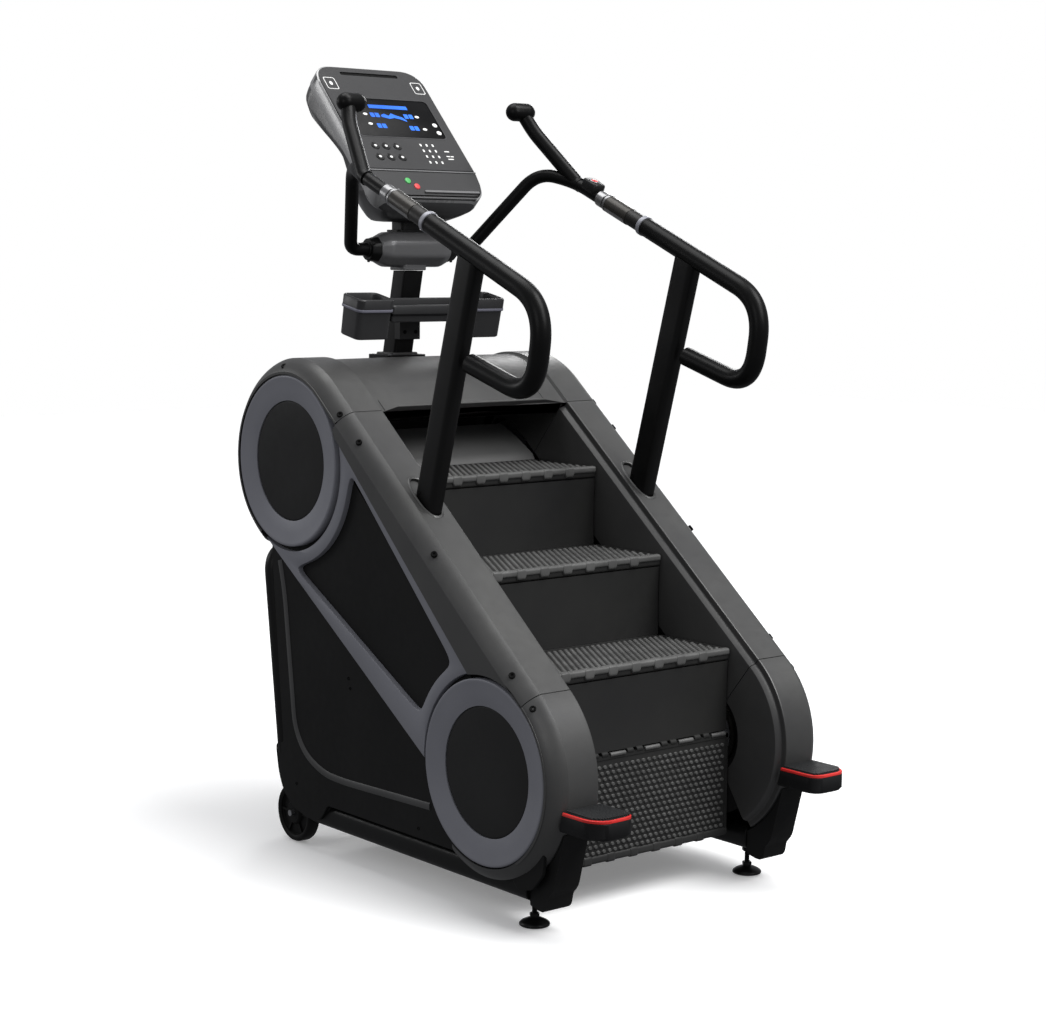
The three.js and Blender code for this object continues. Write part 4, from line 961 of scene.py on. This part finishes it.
def add_tray():
    cup = ((1318, 7), (1321, 4), (1390, 2.6), (1392, 0), (1421, 0), (1424, 2.5), (1424, 5.5))
    cup += ((1421, 8), (1396, 9), (1330, 12))
    shelf = ((1362, 9), (1365, 6), (1378, 6), (1380, 10), (1384, 10), (1386, 0), (1404, 0))
    shelf += ((1408, 3), (1408, 9), (1404, 12), (1374, 14))
    centres = ((-183, 428), (183, 428))
    mast_y = MAST_FOOT_Y - 27 + (1252 - 1390) * 50 / 228
    shapes = [hollow_box(55, 45, 18, centre, cup) for centre in centres]
    shapes += [hollow_box(133, 46, 12, (0, 432), shelf), block((-36, 470, 1374), (36, mast_y + 2, 1404))]
    piece("cup_tray", TRAY, join(*shapes), "accessory_tray", crease=40)
    band = ((1391, 0.5), (1391, -0.5), (1392, -1.2), (1397, -1.2), (1398, -0.5), (1398, 0.5))
    shapes = []
    for centre in centres:
        rings = []
        for x, y in rounded_box(55, 45, 18, centre):
            away = Vector((x - centre[0], y - centre[1])).normalized()
            rings.append([tipped(x - away.x * t, y - away.y * t, z) for z, t in band])
        shapes.append(loft(rings, loop=True))
    piece("tray_band", TRAY_BAND, join(*shapes), crease=40)
    piece("tray_bracket", POD, block((-33, mast_y - 2, 1298), (33, mast_y + 24, 1376)), bevel=2)
    head = [(0, 0), (5, 0), (5, 1), (3, 2), (0, 2)]
    heads = [turn(head, (x, mast_y - 2.6, 1318), (0, -1, 0), 16) for x in (-18, 18)]
    # Screw heads in near black: painted shade of their holes.
    piece("tray_screws", RECESS_SHADE, join(*heads))


# ---- console ----


def console_section(x):
    """The console's side outline at x, as points in the YZ plane, drawn in at the rounded sides."""
    over = max(abs(x) - (CONSOLE_HALF - 55), 0)
    cut = 55 - sqrt(max(55**2 - over**2, 0))
    deep = 1 - 0.07 * (abs(x) / CONSOLE_HALF) ** 6
    top, bottom = FACE_LENGTH - cut, cut * 0.9
    belly = 1 - 0.55 * (max(abs(x) - 90, 0) / (CONSOLE_HALF - 90)) ** 1.4
    back = [(0, -4), (top, -4), (top, -16), (top - 3, -66 * deep), (min(368, top - 10), -89 * deep)]
    back += [(300 - cut * 0.3, -98 * deep), (210, -112 * (deep + belly) / 2), (120, -126 * belly)]
    back += [(60, -160 * belly), (20, -172 * belly), (-22 + bottom * 0.4, -166 * belly)]
    back += [(-64 + bottom, -126 * belly), (-84 + bottom, -92 * belly), (-90 + bottom, -62 * deep)]
    back += [(-88 + bottom, -36), (-80 + bottom * 0.9, -19), (-62 + bottom * 0.8, -15)]
    return [on_face(x, up, out) for up, out in back]


def smooth_ring(points, sharp):
    """A ring of points with its soft stretches rounded: sharp holds the corners that stay."""
    out = []
    for i, p in enumerate(points):
        p = Vector(p)
        if i in sharp:
            out += [tuple(p)] * 3
            continue
        enter = p.lerp(Vector(points[i - 1]), 0.25)
        leave = p.lerp(Vector(points[(i + 1) % len(points)]), 0.25)
        out += [tuple(enter), tuple((enter + leave + p * 2) / 4), tuple(leave)]
    return out


def face_outline(inset, low=2.0, reach=4.0):
    half, foot, head = CONSOLE_HALF - inset, low + inset, FACE_LENGTH - inset
    return soft([(-half, foot), (half, foot), (half, head), (-half, head)], [reach, reach, 66, 66], 12)


def picture_frame(outer, inner, low_out, high_out):
    rings = []
    for p, q in zip(outer, inner):
        spots = ((p, low_out), (p, high_out), (q, high_out), (q, low_out))
        rings.append([on_face(*spot, out) for spot, out in spots])
    return loft(rings, loop=True)


def add_console():
    xs = [-CONSOLE_HALF * cos(angle) for angle in spaced(0, pi, 44)]
    body = loft([smooth_ring(console_section(x), {0, 1}) for x in xs])
    piece("console_body", SHELL, body, "console_shell", crease=50)
    window = rounded_box(142, 71, 14, (0, 195), 5)
    recess = face_slab(window, -2.2, 6)
    slot = face_slab(rounded_box(94, 6, 5, (0, 358)), -6, 6)
    rows = ((3, -4), (3, -1.4), (4.4, 0))
    plate = loft([[on_face(x, u, out) for x, u in face_outline(inset)] for inset, out in rows])
    piece("console_plate", FACE, plate, "console_face", cuts=[recess, slot], crease=30)
    # The slot's shallow floor in near black: painted shade of a deep slot.
    piece("slot_floor", RECESS_SHADE, face_slab(rounded_box(93.5, 5.5, 5, (0, 358)), -3.9, -2.5))
    # The band round the shell's sides, in the light grey rim material: painted sheen on the shell plastic.
    rim = []
    for (a, b), (c, d) in zip(face_outline(-0.8, -84, 50), face_outline(2.6, -84, 50)):
        cross = ((c, d, -1.8), (a * 0.997, b, -4), (a, b, -9), (a, b, -44), (c, d, -52), (c, d, -10))
        rim.append([on_face(x, up, out + min(up, 0) * 0.185) for x, up, out in cross])
    piece("console_rim_sheen_band", RIM_SHEEN, loft(rim, loop=True), crease=45)
    rows = ((0.993, -2.1), (0.993, -0.6), (0.985, -0.2))
    glass = loft([[on_face(x * k, 195 + (u - 195) * k, out) for x, u in window] for k, out in rows])
    piece("window_glass", GLASS, glass, "display_window", crease=30)
    bezel = picture_frame(rounded_box(145, 74, 16, (0, 195), 5), window, -0.5, 0.5)
    piece("window_bezel", SHELL, bezel)


def add_face_marks():
    """The screen's shapes, the printed marks and the round keys, all generic."""
    wave = [(-36, 205), (-24, 210), (-12, 203), (0, 213), (12, 206), (30, 200), (40, 190), (40, 184)]
    wave += [(22, 192), (4, 196), (-14, 192), (-36, 198)]
    bars = ((-56, 204), (54, 204), (-52, 164), (52, 160))
    blue = [rounded_box(63, 6.5, 2, (1, 236)), wave]
    blue += [rounded_box(6.5, 8, 2, (x + dx, up)) for x, up in bars for dx in (-8, 8)]
    piece("screen_graphics", SCREEN, join(*(face_slab(outline, -0.6, 0.3) for outline in blue)))
    lamps = ((-86, 206), (82, 204), (-86, 170), (86, 158))
    marks = [face_slab(oval(7, 4.5, spot, 2, 16), -0.6, 0.3) for spot in lamps]
    for centre in ((-142, 317), (142, 317)):
        outer, inner = rounded_box(18, 22, 7, centre), rounded_box(16, 20, 6, centre)
        marks.append(picture_frame(outer, inner, -0.2, 0.4))
        marks.append(face_slab(oval(5, 7, centre, 2, 20)))
    spots = [(40 + column * 20, 97 - row * 21) for row in range(4) for column in range(3)]
    marks += [face_slab(rounded_box(2.8, 4.4, 1.5, spot, 3)) for spot in spots]
    for x, up, half in ((116, 76, 8), (112, 58, 6), (125, 58, 5), (116, 48, 9)):
        marks.append(face_slab(rounded_box(half, 1.8, 1, (x, up), 3)))
    piece("white_marks_set", INK, join(*marks))
    key = [(0, -1), (7.5, -1), (7.5, 0.8), (6.5, 1.6), (0, 1.6)]
    keys = [turn(key, on_face(127, up, -0.3), FACE_OUT, 28) for up in (175, 146)]
    piece("white_keys", INK, join(*keys))
    spots = ((-111, 88), (-77, 88), (-41, 88), (-115, 48), (-80, 48), (-44, 48))
    key = [(0, -0.5), (13, -0.5), (13, 0.8), (12, 1.6), (9, 1.2), (0, 1.0)]
    piece("round_keys", BLACK_KEY, join(*(turn(key, on_face(*spot), FACE_OUT, 32) for spot in spots)))
    glyphs = [face_slab(oval(4.5, 4, spot, 2, 12), 0.9, 1.5) for spot in spots]
    piece("round_key_marks", INK, join(*glyphs))


def ledge(x, down, out=0.0):
    """A point on the leaning ledge, some way down from the face's lower edge."""
    c, s = cos(LEDGE_LEAN), sin(LEDGE_LEAN)
    return (x, FACE_Y - down * s - out * c, FACE_Z - down * c + out * s)


def ledge_slab(outline, levels):
    return loft([[ledge(x, down, out) for x, down in outline] for out in levels])


def add_ledge():
    plate = [(-170, 5), (170, 5), (171, 50), (150, 76), (-150, 76), (-171, 50)]
    plate = soft(plate, [4, 4, 20, 28, 28, 20], 8)
    keys = (("start_cap", "start_key", GREEN, (-65, 33)), ("stop_cap", "stop_key", RED, (-42, 50)))
    out = (0, -cos(LEDGE_LEAN), sin(LEDGE_LEAN))
    holes = [cylinder(9.5, -12, 12, ledge(*spot), out, 36) for *_, spot in keys]
    piece("ledge_plate", FACE, ledge_slab(plate, (-6, 0.6, 1.6)), cuts=holes, crease=30)
    piece("ledge_rib", EDGE, ledge_slab(rounded_box(172, 2, 2, (0, 1)), (-6, 2.4)), bevel=0.8)
    piece("ledge_shelf", EDGE, ledge_slab(rounded_box(90, 3.4, 3, (66, 66)), (-4, 6)), bevel=1)
    piece("ledge_lip", SHELL, ledge_slab(rounded_box(120, 3, 3, (20, 84)), (-10, 3)), bevel=1)
    cap = [(0, -4), (9, -4), (9, 2.4), (7.8, 3.8), (4, 4.2), (0, 4.3)]
    for name, node, material, spot in keys:
        piece(name, material, turn(cap, ledge(*spot), out, 36), node, node)


# ---- CAD nodes that stay as they are ----


def finish_inner_nodes():
    looks = {"side_frame": STEEL, "wheel_axle": BARE, "shaft": BARE, "step_chain": CHAIN, "drive_belt": BELT}
    looks |= {"alternator_rotor": BARE, "alternator": MOTOR, "return_flight": STEP}
    for name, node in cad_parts.items():
        if node.hide_render:
            continue
        found = next((material for key, material in looks.items() if key in name), STEEL)
        node.data.materials.clear()
        node.data.materials.append(found)


# ---- camera, light and floor ----


def set_camera():
    yaw, pitch, roll = (radians(a) for a in (39.50127, 6.66894, 0.44517))
    ahead = Vector((sin(yaw) * cos(pitch), cos(yaw) * cos(pitch), -sin(pitch)))
    right = Vector((cos(yaw), -sin(yaw), 0))
    up = right.cross(ahead)
    side = right * cos(roll) + up * sin(roll)
    top = up * cos(roll) - right * sin(roll)
    data = bpy.data.cameras.new("camera")
    data.lens, data.sensor_width, data.clip_end = 74.80, 36.0, 60
    camera = show("camera", data)
    turned = Matrix((side, top, -ahead)).transposed().to_4x4()
    camera.matrix_world = Matrix.Translation(place((-3447.09, -4164.03, 1534.06))) @ turned
    bpy.context.scene.camera = camera


def facing(direction):
    return Vector(direction).to_track_quat("-Z", "Y").to_euler()


def set_lights():
    lights = (
        ("key", (0.7, -4.0, 3.6), 0.9, 2.4, 70),
        ("top", (-0.2, 0.8, 4.6), 1.2, 2.6, 60),
        ("left", (-4.2, -1.6, 2.6), 1.0, 2.0, 16),
        ("rim", (3.4, 2.8, 3.0), 1.2, 1.4, 40),
        ("back", (-2.8, 4.2, 2.6), 1.1, 1.6, 26),
    )
    for name, spot, target_z, size, power in lights:
        light = bpy.data.lights.new(name, "AREA")
        light.shape, light.size, light.energy = "DISK", size, power
        obj = show(name, light)
        obj.rotation_euler = facing(Vector((0, 0, target_z)) - Vector(spot))
        obj.location = spot
    sun = bpy.data.lights.new("sky", "SUN")
    sun.energy, sun.angle = 2.5, radians(35)
    show("sky", sun).rotation_euler = facing((-0.3, 0.5, -1))


def set_world():
    """A plain white studio to the eye, with a softer light on the object that fades towards the floor."""
    world = bpy.data.worlds.new("studio")
    world.use_nodes = True
    nodes, links = world.node_tree.nodes, world.node_tree.links
    fill, seen, mix = nodes["Background"], nodes.new("ShaderNodeBackground"), nodes.new("ShaderNodeMixShader")
    put(fill, Color=(0.95, 0.96, 1, 1))
    put(seen, Color=(1, 1, 1, 1), Strength=1.0)
    height, ramp = nodes.new("ShaderNodeSeparateXYZ"), nodes.new("ShaderNodeMapRange")
    links.new(nodes.new("ShaderNodeTexCoord").outputs["Generated"], height.inputs[0])
    links.new(height.outputs["Z"], ramp.inputs["Value"])
    put(ramp, From_Min=-0.35, From_Max=0.25, To_Min=0.2, To_Max=0.34)
    links.new(ramp.outputs["Result"], fill.inputs["Strength"])
    links.new(nodes.new("ShaderNodeLightPath").outputs["Is Camera Ray"], mix.inputs[0])
    links.new(fill.outputs[0], mix.inputs[1])
    links.new(seen.outputs[0], mix.inputs[2])
    links.new(mix.outputs[0], nodes["World Output"].inputs["Surface"])
    bpy.context.scene.world = world
    bpy.context.scene.view_settings.view_transform = "Standard"


def set_floor():
    half, drop = 14.0, -0.0008
    corners = [(-half, -half, drop), (half, -half, drop), (half, half, drop), (-half, half, drop)]
    mesh = bpy.data.meshes.new("floor")
    mesh.from_pydata(corners, [], [(0, 1, 2, 3)])
    floor = show("floor", mesh)
    paper = bpy.data.materials.new("pale_floor")
    paper.use_nodes = True
    shader = paper.node_tree.nodes["Principled BSDF"]
    put(shader, Base_Color=(0.9, 0.9, 0.9, 1), Roughness=0.8)
    put(shader, Emission_Color=(1, 1, 1, 1), Emission_Strength=0.2)
    mesh.materials.append(paper)
    floor.visible_diffuse = floor.visible_glossy = False


set_camera()
set_lights()
set_world()
set_floor()
add_covers()
add_crown()
add_rings()
add_trim()
add_side_panels()
add_base()
add_back()
add_wheels()
add_feet()
add_pads()
add_staircase()
add_posts_and_rails()
add_control_pod()
add_neck()
add_mast()
add_tray()
add_console()
add_face_marks()
add_ledge()
finish_inner_nodes()
